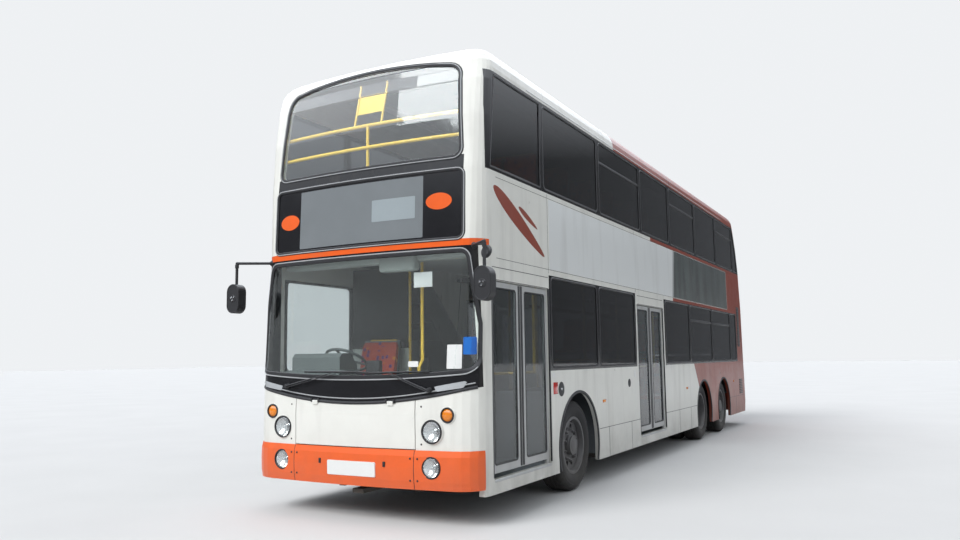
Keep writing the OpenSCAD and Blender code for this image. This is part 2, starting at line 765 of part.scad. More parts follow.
// Louvres of the engine door: number, first height, pitch, height of a slot and its ends
louvre_n = 8;
louvre_z = 1120;
louvre_pitch = 62;
louvre_h = 26;
louvre_x0 = 60;
louvre_x1 = 720;
module engine_hinges() {
    for (side = [-1, 1]) translate([side * engine_hinge_x, engine_hinge_y, engine_hinge_z]) children();
}
module rear_panel() {
    color(white) placed() {
        difference() {
            intersection() {
                roof_skin(skirt_z);
                along_x(-half_w - overshoot, half_w + overshoot, rear_region);
            }
            rear_window_region(0);
            engine_door_region(0);
            rear_lamp_bores(fit);
            engine_hinges() hinge_pocket();
        }
        engine_hinges() {
            hinge_lugs();
            for (end = [-1, 1]) translate([end * lug_x, 0, 0])
                block([-lug_l / 2, -hinge_reach, 0], [lug_l / 2, hinge_r, engine_lug]);
        }
    }
}
module engine_door() {
    color(orange) placed() difference() {
        union() {
            intersection() {
                skin(engine_door_z0 - overshoot, engine_door_z1 + overshoot, 0, engine_door_t);
                engine_door_region(leaf_gap);
            }
            engine_hinges() {
                hinge_barrel();
                along_x(-hinge_l / 2, hinge_l / 2, [[-hinge_r, 0], [-hinge_r, -hinge_r],
                    [-2 * hinge_r, -2 * hinge_r],
                    [-2 * hinge_r, -engine_lug], [hinge_r, -engine_lug], [hinge_r, 0]]);
            }
        }
        engine_hinges() hinge_bore();
        for (i = [0 : louvre_n - 1]) let (z = louvre_z + i * louvre_pitch)
            both_sides() block([louvre_x0, body_l - rear_corner_r, z], [louvre_x1,
                body_l + overshoot, z + louvre_h]);
    }
}

// Lamps, mirrors and wipers: a lens bulges by a share of its radius
lens_bulge = 0.22;
module lamp(r, depth) {
    rotate([90, 0, 0]) rotate_extrude()
        polygon(concat([[0, -depth], [r, -depth]], [for (i = [0 : 5]) let (a = 18 * i) [r * cos(a),
            r * lens_bulge * sin(a)]]));
}
front_lamp_l = 90;
rear_lamp_l = 70;
rear_lamp_in = 14;
module lamps() {
    color(lens_colour) placed() {
        for (l = front_lamps) both_sides() translate([l[0], l[3], l[1]]) lamp(l[2], front_lamp_l);
        for (l = rear_lamps) both_sides()
            translate([l[0], body_l - lookup(l[1], rear_at) - rear_lamp_in, l[1]]) rotate([0, 0,
                180]) lamp(l[2], rear_lamp_l);
    }
}
arm_r = 14;
arm_root = [half_w - 115, 250, 2408];
arm_bend = [mirror_x, mirror_y, 2400];
module mirrors() {
    color(black) placed() both_sides() difference() {
        union() {
            hull() for (z = [mirror_z0 + mirror_w / 2,
                mirror_z1 - mirror_w / 2]) translate([mirror_x, mirror_y, z])
                rotate([90, 0, 0]) cylinder(h = mirror_d, r = mirror_w / 2, center = true, $fn = 32);
            bar(arm_root, arm_bend, arm_r);
            translate(arm_bend) sphere(r = arm_r + 1, $fn = 24);
            bar(arm_bend, [mirror_x, mirror_y, mirror_z1 - 20], arm_r);
        }
        form(screen_top_z - wall_t, front_seam_z + wall_t, -fit);
    }
}
wiper_x = 800;
wiper_z = 1180;
wiper_tip_x = 480;
blade_z = 1335;
blade_half_l = 400;
blade_half_h = 9;
blade_d = 24;
wiper_y = 25;
wiper_root_y = 98;
wiper_hub_r = 17;
wiper_t = 12;
module wiper() {
    difference() {
        translate([wiper_x, wiper_root_y, wiper_z]) rotate([90, 0, 0])
            cylinder(h = wiper_root_y - wiper_y + wiper_t, r = wiper_hub_r);
        form(wiper_z - wall_t, wiper_z + wall_t, -fit);
    }
    hull() {
        translate([wiper_x, wiper_y, wiper_z]) rotate([90, 0, 0]) cylinder(h = wiper_t,
            r = wiper_hub_r, $fn = 32);
        translate([wiper_tip_x, wiper_y, blade_z]) rotate([90, 0, 0]) cylinder(h = wiper_t,
            r = blade_half_h, $fn = 32);
    }
    block([wiper_tip_x - blade_half_l, wiper_y - wiper_t, blade_z - blade_half_h],
        [wiper_tip_x + blade_half_l, wiper_y - wiper_t + blade_d, blade_z + blade_half_h]);
}
module wipers() {
    color(black) placed() both_sides() wiper();
}

// Doors: a leaf is drawn from its post towards +Y, with its outer face at x = half_w - leaf_set
post_r = 22;
post_foot_z = floor_z + sill_lift + fit;
leaf_half = leaf_t / 2;
leaf_x = half_w - leaf_set - leaf_half;
leaf_top_z = door_head_z;
door1_leaf_w = (door1_w - 3 * leaf_gap) / 2;
door2_leaf_w = (door2_w - 3 * leaf_gap) / 2;
stile_w = 55;
rubber_w = 45;
leaf_bottom_h = 70;
leaf_top_h = 55;
leaf_glass_r = 30;
leaf_glass_in = 2;
// Handrail on a leaf: its reach inwards, distance from the post, end before the free edge, height and radius
rail_out = 60;
rail_y = 110;
rail_end = 70;
leaf_rail_z = 1270;
rail_r = 15;
stay_r = 11;
function leaf_glass(w, g) = rounded(stile_w + g, leaf_foot_z + leaf_bottom_h + g, w - rubber_w - rubber_w - g,
    leaf_top_z - leaf_top_h - g, leaf_glass_r - g);
module leaf(w) {
    difference() {
        union() {
            block([-leaf_half, 0, leaf_foot_z], [leaf_half, w, leaf_top_z]);
            translate([0, post_r, post_foot_z]) cylinder(h = leaf_top_z - post_foot_z, r = post_r);
        }
        along_x(-leaf_half - overshoot, leaf_half + overshoot, leaf_glass(w, 0));
    }
    grip_x = -leaf_half - rail_out;
    grip_z = leaf_rail_z + rail_r;
    stay_z = leaf_top_z - leaf_top_h + rail_r;
    stay_y = w - rail_end - rail_r;
    bar([grip_x, rail_y, leaf_rail_z], [grip_x, rail_y, stay_z + rail_r], rail_r);
    bar([grip_x, rail_y, grip_z], [grip_x, w - rail_end, grip_z], rail_r - 2);
    bar([grip_x, rail_y, stay_z], [-leaf_half + glass_set, rail_y, stay_z], stay_r);
    bar([grip_x, stay_y, grip_z], [-leaf_half + glass_set, stay_y, grip_z], stay_r);
}
module leaf_pane(w) {
    along_x(leaf_glass_in, leaf_glass_in + glass_t, leaf_glass(w, fit));
}
module at_front_post(y) {
    translate([leaf_x, y + leaf_gap, 0]) children();
}
module at_rear_post(y) {
    translate([leaf_x, y - leaf_gap, 0]) mirror([0, 1, 0]) children();
}
module front_door_leaf_a() {
    color(steel) placed() at_front_post(door1_y) leaf(door1_leaf_w);
}
module front_door_leaf_b() {
    color(steel) placed() at_rear_post(door1_y + door1_w) leaf(door1_leaf_w);
}
module centre_door_leaf_a() {
    color(steel) placed() at_front_post(door2_y) leaf(door2_leaf_w);
}
module centre_door_leaf_b() {
    color(steel) placed() at_rear_post(door2_y + door2_w) leaf(door2_leaf_w);
}
module front_door_glass_a() {
    color(glass_colour) placed() at_front_post(door1_y) leaf_pane(door1_leaf_w);
}
module front_door_glass_b() {
    color(glass_colour) placed() at_rear_post(door1_y + door1_w) leaf_pane(door1_leaf_w);
}
module centre_door_glass_a() {
    color(glass_colour) placed() at_front_post(door2_y) leaf_pane(door2_leaf_w);
}
module centre_door_glass_b() {
    color(glass_colour) placed() at_rear_post(door2_y + door2_w) leaf_pane(door2_leaf_w);
}

// Floors: flat plates that butt with a fine gap; the wheel boxes stand over the tyres
box_x = 545;
box_t = 15;
front_box_half = 610;
front_box_y0 = front_axle_y - front_box_half;
front_box_y1 = front_axle_y + front_box_half;
box_top_z = 1080;
riser_t = 20;
floor_front_y = 420;
rear_end_y = body_l - 260;
gangway_x = 470;
engine_bay_y = tag_axle_y + 870;
shelf_z = platform_z + 300;
cab_floor_z = floor_z + cab_lift;
cab_x = 330;
module wheel_box() {
    difference() {
        block([box_x, front_box_y0, floor_z - floor_t], [inner_x, front_box_y1, box_top_z]);
        block([box_x + box_t, front_box_y0 + box_t, 0], [half_w, front_box_y1 - box_t, box_top_z - box_t]);
    }
}
module rear_platform() {
    difference() {
        block([gangway_x, rear_step_y - riser_t, gangway_z - floor_t], [inner_x,
            engine_bay_y - fit, platform_z]);
        block([gangway_x + box_t, rear_step_y, 0], [half_w, engine_bay_y, platform_z - box_t]);
    }
}
module lower_floor() {
    low = floor_z - floor_t;
    riser_y = rear_step_y - riser_t;
    color(grey) placed() {
        block([-inner_x, floor_front_y, low], [inner_x, front_box_y0 - fit, floor_z]);
        block([-box_x + fit, front_box_y0, low], [box_x - fit, front_box_y1, floor_z]);
        block([-inner_x, front_box_y1 + fit, low], [inner_x, riser_y - fit, floor_z]);
        block([-inner_x, floor_front_y, floor_z + fit], [-cab_x, front_box_y0 - fit, cab_floor_z]);
        both_sides() {
            wheel_box();
            rear_platform();
        }
        block([-inner_x, riser_y, low], [inner_x, rear_step_y, gangway_z - floor_t - fit]);
        block([-gangway_x + fit, riser_y, gangway_z - floor_t], [gangway_x - fit,
            engine_bay_y - fit, gangway_z]);
        block([-inner_x, engine_bay_y, gangway_z - floor_t], [inner_x, engine_bay_y + floor_t,
            shelf_z - floor_t - fit]);
        block([-inner_x, engine_bay_y, shelf_z - floor_t], [inner_x, rear_end_y, shelf_z]);
    }
}
stair_x0 = -1190;
stair_x1 = -600;
stair_y0 = 4150;
stair_y1 = 2050;
stair_n = 9;
well_y0 = stair_y1;
well_y1 = 4000;
well_gap = 20;
deck_gap = 1;
module upper_floor() {
    z = upper_floor_z - floor_t;
    in_z = upper_floor_z + wall_t;
    color(grey) placed() difference() {
        translate([0, 0, z]) linear_extrude(floor_t)
            polygon(outline(inner_x, lookup(in_z, front_at) + wall_t + deck_gap,
                body_l - lookup(in_z, rear_at) - wall_t - deck_gap,
                lookup(z, corner_radii) - wall_t, rear_corner_r - wall_t));
        block([stair_x0 - well_gap, well_y0, z - overshoot], [stair_x1 + well_gap, well_y1,
            upper_floor_z + overshoot]);
    }
}
// Thickness of a tread and lap of tread and riser
tread_t = 30;
tread_lap = 10;
stringer_in = 60;
stringer_h = 250;
stringer_foot = 380;
module staircase() {
    rise = (upper_floor_z - floor_z) / (stair_n + 1);
    run = (stair_y0 - stair_y1) / stair_n;
    color(grey) placed() {
        for (i = [0 : stair_n - 1]) {
            z = floor_z + rise * (i + 1);
            y = stair_y0 - run * i;
            block([stair_x0, y - run, z - tread_t], [stair_x1, y + tread_lap, z]);
            block([stair_x0, y - tread_lap, z - rise - (i == 0 ? 0 : 2 * tread_lap)], [stair_x1,
                y + tread_lap, z - tread_lap]);
        }
        top = upper_floor_z - floor_t - fit;
        foot = floor_z + fit;
        stringer = [[stair_y0 + tread_lap, foot], [stair_y0 + tread_lap,
            foot + rise + stringer_in], [stair_y1 + stringer_in, top],
            [stair_y1 - stringer_in, top], [stair_y1 - stringer_in, top - stringer_h],
                [stair_y0 - stringer_foot, foot]];
        along_x(stair_x1 - tread_lap, stair_x1 + well_gap, stringer);
    }
}

// Chassis and running gear: a low ladder in front, and a raised rear frame on each side
chassis_x = 400;
chassis_w = 65;
rail_z0 = 230;
ladder_end_y = rear_step_y - 260;
cross_half = 30;
cross_ys = [700, 1500, front_axle_y + 890, 4300, rear_step_y - 1950, rear_step_y - 950, ladder_end_y - 60];
rear_cross_ys = [(drive_axle_y + tag_axle_y) / 2, tag_axle_y + 620, body_l - 700];
rail_end_y = body_l - 500;
rear_rail_z = 600;
// Half height of the rear frame, and where its kick-up starts and ends
rear_rail_half = 50;
kick_y0 = rear_step_y + 30;
kick_y1 = rear_step_y + 270;
kick_slant = 20;
// Front towing eye: place, width, thickness and radius of its bore
tow_y = 175;
tow_w = 120;
tow_t = 40;
tow_r = 20.5;
tow_nose = 45;
module rear_frame() {
    top = rear_rail_z + rear_rail_half;
    bottom = rear_rail_z - rear_rail_half;
    rail_z1 = floor_z - floor_t - fit;
    along_x(chassis_x, chassis_x + chassis_w - overshoot, [[ladder_end_y, rail_z0],
        [kick_y0 + kick_slant, rail_z0],
        [kick_y1 + kick_slant, bottom], [rail_end_y, bottom], [rail_end_y, top], [kick_y1 - kick_slant, top],
        [kick_y0 - kick_slant, rail_z1], [ladder_end_y, rail_z1]]);
}
module chassis_frame() {
    rail_z1 = floor_z - floor_t;
    tow_z = rail_z0 + 5;
    color(black) placed() {
        both_sides() {
            block([chassis_x, floor_front_y + cross_half, rail_z0], [chassis_x + chassis_w,
                ladder_end_y - fit, rail_z1]);
            rear_frame();
        }
        difference() {
            block([-tow_w / 2, tow_y - tow_nose, tow_z], [tow_w / 2, cross_ys[0], tow_z + tow_t]);
            translate([0, tow_y, rail_z0]) cylinder(h = 2 * tow_t, r = tow_r);
        }
        for (y = cross_ys) block([-inner_x + 60, y - cross_half, rail_z0 + 20], [inner_x - 60,
            y + cross_half, rail_z1]);
        for (y = rear_cross_ys)
            block([-chassis_x + fit, y - cross_half, rear_rail_z - 30], [chassis_x - fit,
                y + cross_half, rear_rail_z + 40]);
    }
}
knuckle_gap = 0.5;
beam_rise_x = 700;
beam_z0 = 185;
beam_z1 = 222;
boss_h = 110;
boss_r = 60;
kingpin_r = 26;
stub_root_x = kingpin_x + 75;
beam_half_d = 45;
beam_neck = 42;
seat_in = 5;
// The front beam: a middle piece under the frame and a raised piece with the kingpin's boss at each end
module front_beam() {
    y0 = front_axle_y - beam_half_d;
    y1 = front_axle_y + beam_half_d;
    block([-beam_rise_x + fit, y0, beam_z0], [beam_rise_x - fit, y1, beam_z1]);
    both_sides() {
        block([chassis_x + seat_in, y0, beam_z0 + seat_in], [chassis_x + chassis_w - seat_in, y1,
            rail_z0 - fit]);
        difference() {
            union() {
                along_y(y0, y1, [[beam_rise_x, beam_z0], [beam_rise_x + 70, beam_z0],
                    [beam_rise_x + 105, axle_z - beam_neck],
                    [kingpin_x, axle_z - beam_neck], [kingpin_x, axle_z + beam_neck],
                        [beam_rise_x + 55, axle_z + beam_neck],
                    [beam_rise_x, beam_z1]]);
                translate([kingpin_x, front_axle_y, axle_z - boss_h / 2]) cylinder(h = boss_h, r = boss_r);
            }
            translate([kingpin_x, front_axle_y, 0]) cylinder(h = 2 * axle_z, r = kingpin_r + running);
        }
    }
}
drive_stub_x = 760;
drive_tube_r = 70;
tag_tube_r = 60;
// The differential's housing: half length of its cone and of its drum, and its radii
diff_cone_l = 230;
diff_drum_l = 70;
diff_r = 160;
module drive_axle() {
    half = [[drive_tube_r, diff_cone_l], [diff_r - 30, diff_drum_l + 45], [diff_r, diff_drum_l]];
    translate([0, drive_axle_y, axle_z]) rotate([0, 90, 0]) rotate_extrude() polygon(concat(
        [[0, -twin_stub_end], [stub_r, -twin_stub_end], [stub_r, -drive_stub_x], [drive_tube_r,
            -drive_stub_x]],
        [for (p = half) [p[0], -p[1]]], [for (i = [2 : -1 : 0]) half[i]],
        [[drive_tube_r, drive_stub_x], [stub_r, drive_stub_x], [stub_r, twin_stub_end], [0, twin_stub_end]]));
}
module tag_axle() {
    translate([0, tag_axle_y, axle_z]) rotate([0, 90, 0]) rotate_extrude() polygon([
        [0, -single_stub_end], [stub_r, -single_stub_end], [stub_r, -tag_stub_root], [tag_tube_r,
            -tag_stub_root],
        [tag_tube_r, tag_stub_root], [stub_r, tag_stub_root], [stub_r, single_stub_end], [0,
            single_stub_end]]);
}
module axles() {
    color(black) placed() {
        front_beam();
        drive_axle();
        tag_axle();
        for (axle = [[drive_axle_y, drive_tube_r], [tag_axle_y, tag_tube_r]]) both_sides()
            block([chassis_x + seat_in, axle[0] - beam_half_d, axle_z + axle[1] - 3 * seat_in],
                [chassis_x + chassis_w - 3 * seat_in, axle[0] + beam_half_d,
                    rear_rail_z - rear_rail_half - fit]);
    }
}
wheel_x = tyre_face_x - tyre_w / 2;
twin_inner_x = wheel_x - tyre_w - twin_gap;
hub_in = 55;
hub_out = 60;
twin_stub_end = twin_inner_x + tyre_w / 2 + twin_gap / 2 + 90;
single_stub_end = wheel_x + 60;
tag_stub_root = wheel_x - hub_in - 6;
arm_l = 190;
module knuckle() {
    top = axle_z + boss_h / 2 + knuckle_gap;
    low = axle_z - boss_h / 2 - knuckle_gap;
    translate([kingpin_x, front_axle_y, low - 50]) cylinder(h = top - low + 100, r = kingpin_r);
    for (z = [low - 50, top]) {
        translate([kingpin_x, front_axle_y, z]) cylinder(h = 50, r = 55);
        block([kingpin_x, front_axle_y - 50, z], [stub_root_x + 20, front_axle_y + 50, z + 50]);
    }
    block([kingpin_x + 66, front_axle_y - 50, low - 50], [kingpin_x + 86, front_axle_y + 50, top + 50]);
    bar([kingpin_x + 70, front_axle_y, axle_z], [single_stub_end, front_axle_y, axle_z], stub_r, 48);
    block([kingpin_x - 30, front_axle_y, low - 50], [kingpin_x + 10, front_axle_y + arm_l, low - 20]);
}
module knuckle_nearside() {
    color(black) placed() knuckle();
}
module knuckle_offside() {
    color(black) placed() mirror([1, 0, 0]) knuckle();
}
rim_half = 105;
rim_t = 14;
// Rim flange: its height over the seat, the lean of its inner face and its width
flange_h = 14;
flange_lean = 4;
flange_w = 14;
disc_r = seat_r - rim_t;
// Half of a tyre's section, from bead to tread; columns: radius, distance from the middle
function tyre_half(h) = [
    [seat_r + fit, rim_half - fit], [seat_r + flange_h + fit, rim_half + flange_lean - fit],
        [seat_r + 22, h - 18],
    [seat_r + 80, h], [tyre_r - 70, h - 4], [tyre_r - 25, h - 20], [tyre_r - 8, h - 34], [tyre_r, h - 60]];
module tyre_body() {
    side = tyre_half(tyre_w / 2);
    n = len(side) - 1;
    rotate([0, 90, 0]) rotate_extrude($fn = 96)
        polygon(concat([for (p = side) [p[0], -p[1]]], [for (i = [n : -1 : 0]) side[i]]));
}
well_h = 8;
well_in = 30;
hub_r = 105;
hole_ring_r = 200;
hole_r = 30;
hole_n = 10;
// Rim ring with flanges, its axis along X, its middle at the origin
module rim_ring() {
    rotate([0, 90, 0]) rotate_extrude($fn = 96) polygon([
        [seat_r, -rim_half], [seat_r, rim_half], [seat_r + flange_h, rim_half + flange_lean],
        [seat_r + flange_h, rim_half + flange_w], [disc_r, rim_half + flange_w], [disc_r - well_h,
            rim_half - well_in],
        [disc_r - well_h, -rim_half + well_in], [disc_r, -rim_half - flange_w], [seat_r + flange_h,
            -rim_half - flange_w],
        [seat_r + flange_h, -rim_half - flange_lean]]);
}
module disc(x0, x1) {
    difference() {
        translate([x0, 0, 0]) rotate([0, 90, 0]) cylinder(h = x1 - x0, r = disc_r - 4, $fn = 96);
        for (i = [0 : hole_n - 1]) rotate([360 * i / hole_n, 0, 0])
            translate([x0 - 1, hole_ring_r, 0]) rotate([0, 90, 0]) cylinder(h = x1 - x0 + 2, r = hole_r);
    }
}
// Single wheel: the disc stands near the outer face, and the hub carries the cap
module single_rim() {
    difference() {
        union() {
            rim_ring();
            disc(48, 62);
            translate([-hub_in, 0, 0]) rotate([0, 90, 0]) cylinder(h = hub_in + 118, r = hub_r, $fn = 64);
        }
        translate([-hub_in - 1, 0, 0]) rotate([0, 90, 0]) cylinder(h = hub_in + 70, r = stub_r + running);
    }
}
// Twin wheel: both discs meet between the rims
module twin_rim() {
    offset_x = (tyre_w + twin_gap) / 2;
    difference() {
        union() {
            for (side = [-1, 1]) translate([side * offset_x, 0, 0]) rim_ring();
            disc(-45, -20);
            disc(-20, 5);
            for (side = [-1, 1]) translate([side * (offset_x - rim_half - 8) - 12, 0,
                0]) rotate([0, 90, 0]) difference() {
                cylinder(h = 24, r = disc_r, $fn = 96);
                translate([0, 0, -1]) cylinder(h = 26, r = disc_r - 12, $fn = 96);
            }
            rotate([0, 90, 0]) difference() {
                translate([0, 0, -60]) cylinder(h = 120, r = disc_r, $fn = 96);
                translate([0, 0, -61]) cylinder(h = 122, r = disc_r - 12, $fn = 96);
            }
            translate([-110, 0, 0]) rotate([0, 90, 0]) cylinder(h = 290, r = hub_r, $fn = 64);
        }
        translate([-111, 0, 0]) rotate([0, 90, 0]) cylinder(h = 111 + 92, r = stub_r + running);
    }
}
module tyre_front_nearside() {
    color(black) placed() translate([wheel_x, front_axle_y, axle_z]) tyre_body();
}
module tyre_front_offside() {
    color(black) placed() translate([-wheel_x, front_axle_y, axle_z]) tyre_body();
}
module tyre_drive_nearside() {
    color(black) placed() for (x = [wheel_x, twin_inner_x]) translate([x, drive_axle_y, axle_z]) tyre_body();
}
module tyre_drive_offside() {
    color(black) placed() for (x = [wheel_x, twin_inner_x]) translate([-x, drive_axle_y, axle_z]) tyre_body();
}
module tyre_tag_nearside() {
    color(black) placed() translate([wheel_x, tag_axle_y, axle_z]) tyre_body();
}
module tyre_tag_offside() {
    color(black) placed() translate([-wheel_x, tag_axle_y, axle_z]) tyre_body();
}
module rim_front_nearside() {
    color(grey) placed() translate([wheel_x, front_axle_y, axle_z]) single_rim();
}
module rim_front_offside() {
    color(grey) placed() translate([-wheel_x, front_axle_y, axle_z]) mirror([1, 0, 0]) single_rim();
}
module rim_drive_nearside() {
    color(grey) placed() translate([(wheel_x + twin_inner_x) / 2, drive_axle_y, axle_z]) twin_rim();
}
module rim_drive_offside() {
    color(grey) placed() translate([-(wheel_x + twin_inner_x) / 2, drive_axle_y,
        axle_z]) mirror([1, 0, 0]) twin_rim();
}
module rim_tag_nearside() {
    color(grey) placed() translate([wheel_x, tag_axle_y, axle_z]) single_rim();
}
module rim_tag_offside() {
    color(grey) placed() translate([-wheel_x, tag_axle_y, axle_z]) mirror([1, 0, 0]) single_rim();
}
engine_half_w = 550;
engine_ahead = 150;
engine_behind = 250;
engine_above = 180;
engine_top_z = platform_z + engine_above;
module engine_block() {
    color(grey) placed() block([-engine_half_w, engine_bay_y + engine_ahead,
        rear_rail_z + rear_rail_half + fit],
        [engine_half_w, body_l - engine_behind, engine_top_z]);
}

// Interior: a seat pair stands on one leg, its back towards +Y
seat_w = 860;
seat_depth = 470;
cushion_z = 460;
cushion_t = 90;
back_z = 1020;
back_t = 50;
back_lean = 90;
seat_leg_w = 80;
seat_leg_y = 200;
seat_leg_d = 60;
wall_gap = 15;
module seat_pair(x, y, z, w = seat_w) {
    foot = cushion_z - cushion_t;
    translate([x - w / 2, y, z]) {
        along_x(0, w, [[0, foot + 30], [30, foot], [seat_depth - 70, foot - 10], [seat_depth, foot + 10],
            [seat_depth + back_lean, back_z - 40], [seat_depth + back_lean - 20, back_z],
            [seat_depth + back_lean - 20 - back_t, back_z], [seat_depth - back_t, cushion_z + 20],
            [seat_depth - back_lean, cushion_z], [20, cushion_z]]);
        block([(w - seat_leg_w) / 2, seat_leg_y, 0], [(w + seat_leg_w) / 2, seat_leg_y + seat_leg_d, foot]);
    }
}
row_l = seat_depth + back_lean + 40;
first_row_y = 1150;
last_row_in = 1700;
upper_seat_ys = [for (i = [0 : floor((body_l - last_row_in - first_row_y) / seat_pitch)]) first_row_y +
    i * seat_pitch];
platform_pitch = 770;
platform_rows = floor((engine_bay_y - rear_step_y) / platform_pitch);
seat_side_x = inner_x - seat_w / 2 - wall_gap;
driver_x = -700;
driver_y = 960;
driver_w = 480;
// Places of single rows behind the front wheel box and ahead of the step
low_row_ys = [front_box_y1 + 30, front_box_y1 + 30 + seat_pitch];
step_row_ys = [rear_step_y - 1400, rear_step_y - 640];
module seats() {
    color(orange) placed() {
        for (y = upper_seat_ys) {
            seat_pair(seat_side_x, y, upper_floor_z);
            if (y + row_l < well_y0 || y > well_y1 + well_gap) seat_pair(-seat_side_x, y, upper_floor_z);
        }
        for (y = low_row_ys) if (y + row_l < door2_y) seat_pair(seat_side_x, y, floor_z);
        for (y = step_row_ys) if (y > door2_end + 100) seat_pair(seat_side_x, y, floor_z);
        for (i = [0 : platform_rows - 1])
            both_sides() seat_pair(seat_side_x, rear_step_y + 30 + i * platform_pitch, platform_z);
        seat_pair(driver_x, driver_y, cab_floor_z, driver_w);
    }
}
// Handrails: bars bowed like the front behind the upper windscreen, a post, and poles between the decks
upper_rail_zs = [3447, 3668];
upper_rail_r = 17;
upper_rail_x = 1050;
rail_gap = 0.8;
rail_n = 5;
round_n = 24;
function upper_rail_y(z) = lookup(z + wall_t, front_at) + wall_t + upper_rail_r + rail_gap;
module bowed_rail(z) {
    xs = [for (i = [-rail_n : rail_n]) upper_rail_x * i / rail_n];
    rotate([90, 0, 90]) loft(xs, [for (x = xs)
        arc(upper_rail_y(z) + bow(x), z, upper_rail_r, 0, 360 - 360 / round_n, round_n - 1)]);
}
stay_x = 157;
stay_top = [380, 4100];
panel_z0 = 3800;
panel_z1 = 4000;
panel_t = 6;
pole_x = 520;
// Columns: distance from the middle, distance from the front
poles = [[pole_x, door1_end + 80], [pole_x, door2_y - 100], [pole_x, door2_end + 50], [-pole_x,
    stair_y0 + 150],
    [-pole_x, exit_y0 - 90]];
module handrails() {
    top_z = upper_rail_zs[1];
    top_y = upper_rail_y(top_z);
    stay_lean = (stay_top[0] - top_y) / (stay_top[1] - top_z);
    color(yellow) placed() {
        for (z = upper_rail_zs) bowed_rail(z);
        bar([0, top_y, upper_floor_z], [0, top_y, top_z], rail_r);
        both_sides() bar([stay_x, top_y, top_z], [stay_x, stay_top[0], stay_top[1]], stay_r);
        along_x(-stay_x, stay_x, [for (p = [[0, panel_z0], [0, panel_z1], [panel_t, panel_z1],
            [panel_t, panel_z0]])
            [top_y + (p[1] - top_z) * stay_lean + p[0], p[1]]]);
        for (pole = poles) bar([pole[0], pole[1], floor_z], [pole[0], pole[1],
            upper_floor_z - floor_t], upper_rail_r);
    }
}
// Dashboard with the binnacle and the steering wheel, on the cab's floor
dash_x0 = -1120;
dash_x1 = -370;
dash_y0 = 300;
dash_leg_y = 430;
dash_y1 = 760;
dash_z = 1330;
dash_sill_z = 1180;
dash_leg_d = 170;
binnacle_x0 = -1050;
binnacle_x1 = -450;
binnacle_z = 1495;
wheel_centre = [driver_x, 860, 1430];
wheel_r = 215;
wheel_tilt = -30;
column_foot = [driver_x, 700, 1240];
module dashboard() {
    color(grey) placed() {
        along_x(dash_x0, dash_x1, [[dash_leg_y, cab_floor_z], [dash_leg_y, dash_sill_z], [dash_y0,
            dash_sill_z + 60],
            [dash_y0, dash_z - 40], [dash_leg_y, dash_z], [dash_y1 - 130, dash_z], [dash_y1, dash_sill_z],
            [dash_y1, dash_sill_z - 60], [dash_leg_y + dash_leg_d, dash_sill_z - 120],
                [dash_leg_y + dash_leg_d, cab_floor_z]]);
        along_x(binnacle_x0, binnacle_x1, [[dash_leg_y, dash_sill_z], [dash_leg_y,
            binnacle_z - 40], [dash_leg_y + 40, binnacle_z],
            [dash_y1 - 170, binnacle_z], [dash_y1 - 50, dash_z + 50], [dash_y1 - 50, dash_sill_z]]);
        translate(wheel_centre) rotate([wheel_tilt, 0, 0]) {
            rotate_extrude() translate([wheel_r, 0]) circle(r = rail_r, $fn = 16);
            for (a = [30, 150, 270]) rotate([0, 0, a]) bar([0, 0, 0], [wheel_r, 0, 0], stay_r);
        }
        bar(column_foot, wheel_centre, upper_rail_r);
    }
}

chassis_frame();
axles();
knuckle_nearside();
knuckle_offside();
engine_block();
tyre_front_nearside();
tyre_front_offside();
tyre_drive_nearside();
tyre_drive_offside();
tyre_tag_nearside();
tyre_tag_offside();
rim_front_nearside();
rim_front_offside();
rim_drive_nearside();
rim_drive_offside();
rim_tag_nearside();
rim_tag_offside();
lower_floor();
upper_floor();
bumper_front();
front_mask();
front_flap();
cowl();
front_upper_shell();
destination_panel();
windscreens();
nearside_panel();
offside_panel();
roof();
rear_panel();
engine_door();
emergency_door();
emergency_door_glass();
windows();
front_door_leaf_a();
front_door_leaf_b();
centre_door_leaf_a();
centre_door_leaf_b();
front_door_glass_a();
front_door_glass_b();
centre_door_glass_a();
centre_door_glass_b();
lamps();
mirrors();
wipers();
seats();
handrails();
staircase();
dashboard();
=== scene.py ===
"""Looks of the double-deck airport bus: finishes of the CAD pieces and the detail that rides on them."""
import math
import random

import bmesh
import bpy
from mathutils import Matrix, Vector


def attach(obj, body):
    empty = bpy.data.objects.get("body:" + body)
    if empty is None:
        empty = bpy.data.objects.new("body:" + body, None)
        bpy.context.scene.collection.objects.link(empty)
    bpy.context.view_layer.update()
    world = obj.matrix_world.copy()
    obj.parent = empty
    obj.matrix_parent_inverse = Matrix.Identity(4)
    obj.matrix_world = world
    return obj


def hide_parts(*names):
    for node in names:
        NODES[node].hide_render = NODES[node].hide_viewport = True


bl_info = {
    "name": "Airport bus",
    "version": (1, 0, 0),
    "blender": (4, 5, 0),
    "location": "3D View > Sidebar > Bus",
    "description": "Builds the finishes and detail of a double-deck airport bus on its CAD frame",
    "category": "Object",
}

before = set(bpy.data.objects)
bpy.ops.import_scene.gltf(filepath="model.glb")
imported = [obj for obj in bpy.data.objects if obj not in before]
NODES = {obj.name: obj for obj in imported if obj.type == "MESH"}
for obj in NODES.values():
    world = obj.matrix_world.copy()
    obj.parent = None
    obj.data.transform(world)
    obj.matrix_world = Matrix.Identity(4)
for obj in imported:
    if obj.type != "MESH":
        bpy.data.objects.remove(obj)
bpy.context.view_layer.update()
MID = 5.970  # distance of the frame's origin from the foremost plane of the body
HALF_W = 1.25
SIDES = (("nearside", 1), ("offside", -1))
FRONT_AXLE, DRIVE_AXLE, TAG_AXLE, AXLE_Z = 2.41, 8.20, 9.78, 0.48
WHEEL_X, TWIN_X, TYRE_R, TYRE_W = 1.0525, 0.7325, 0.48, 0.275


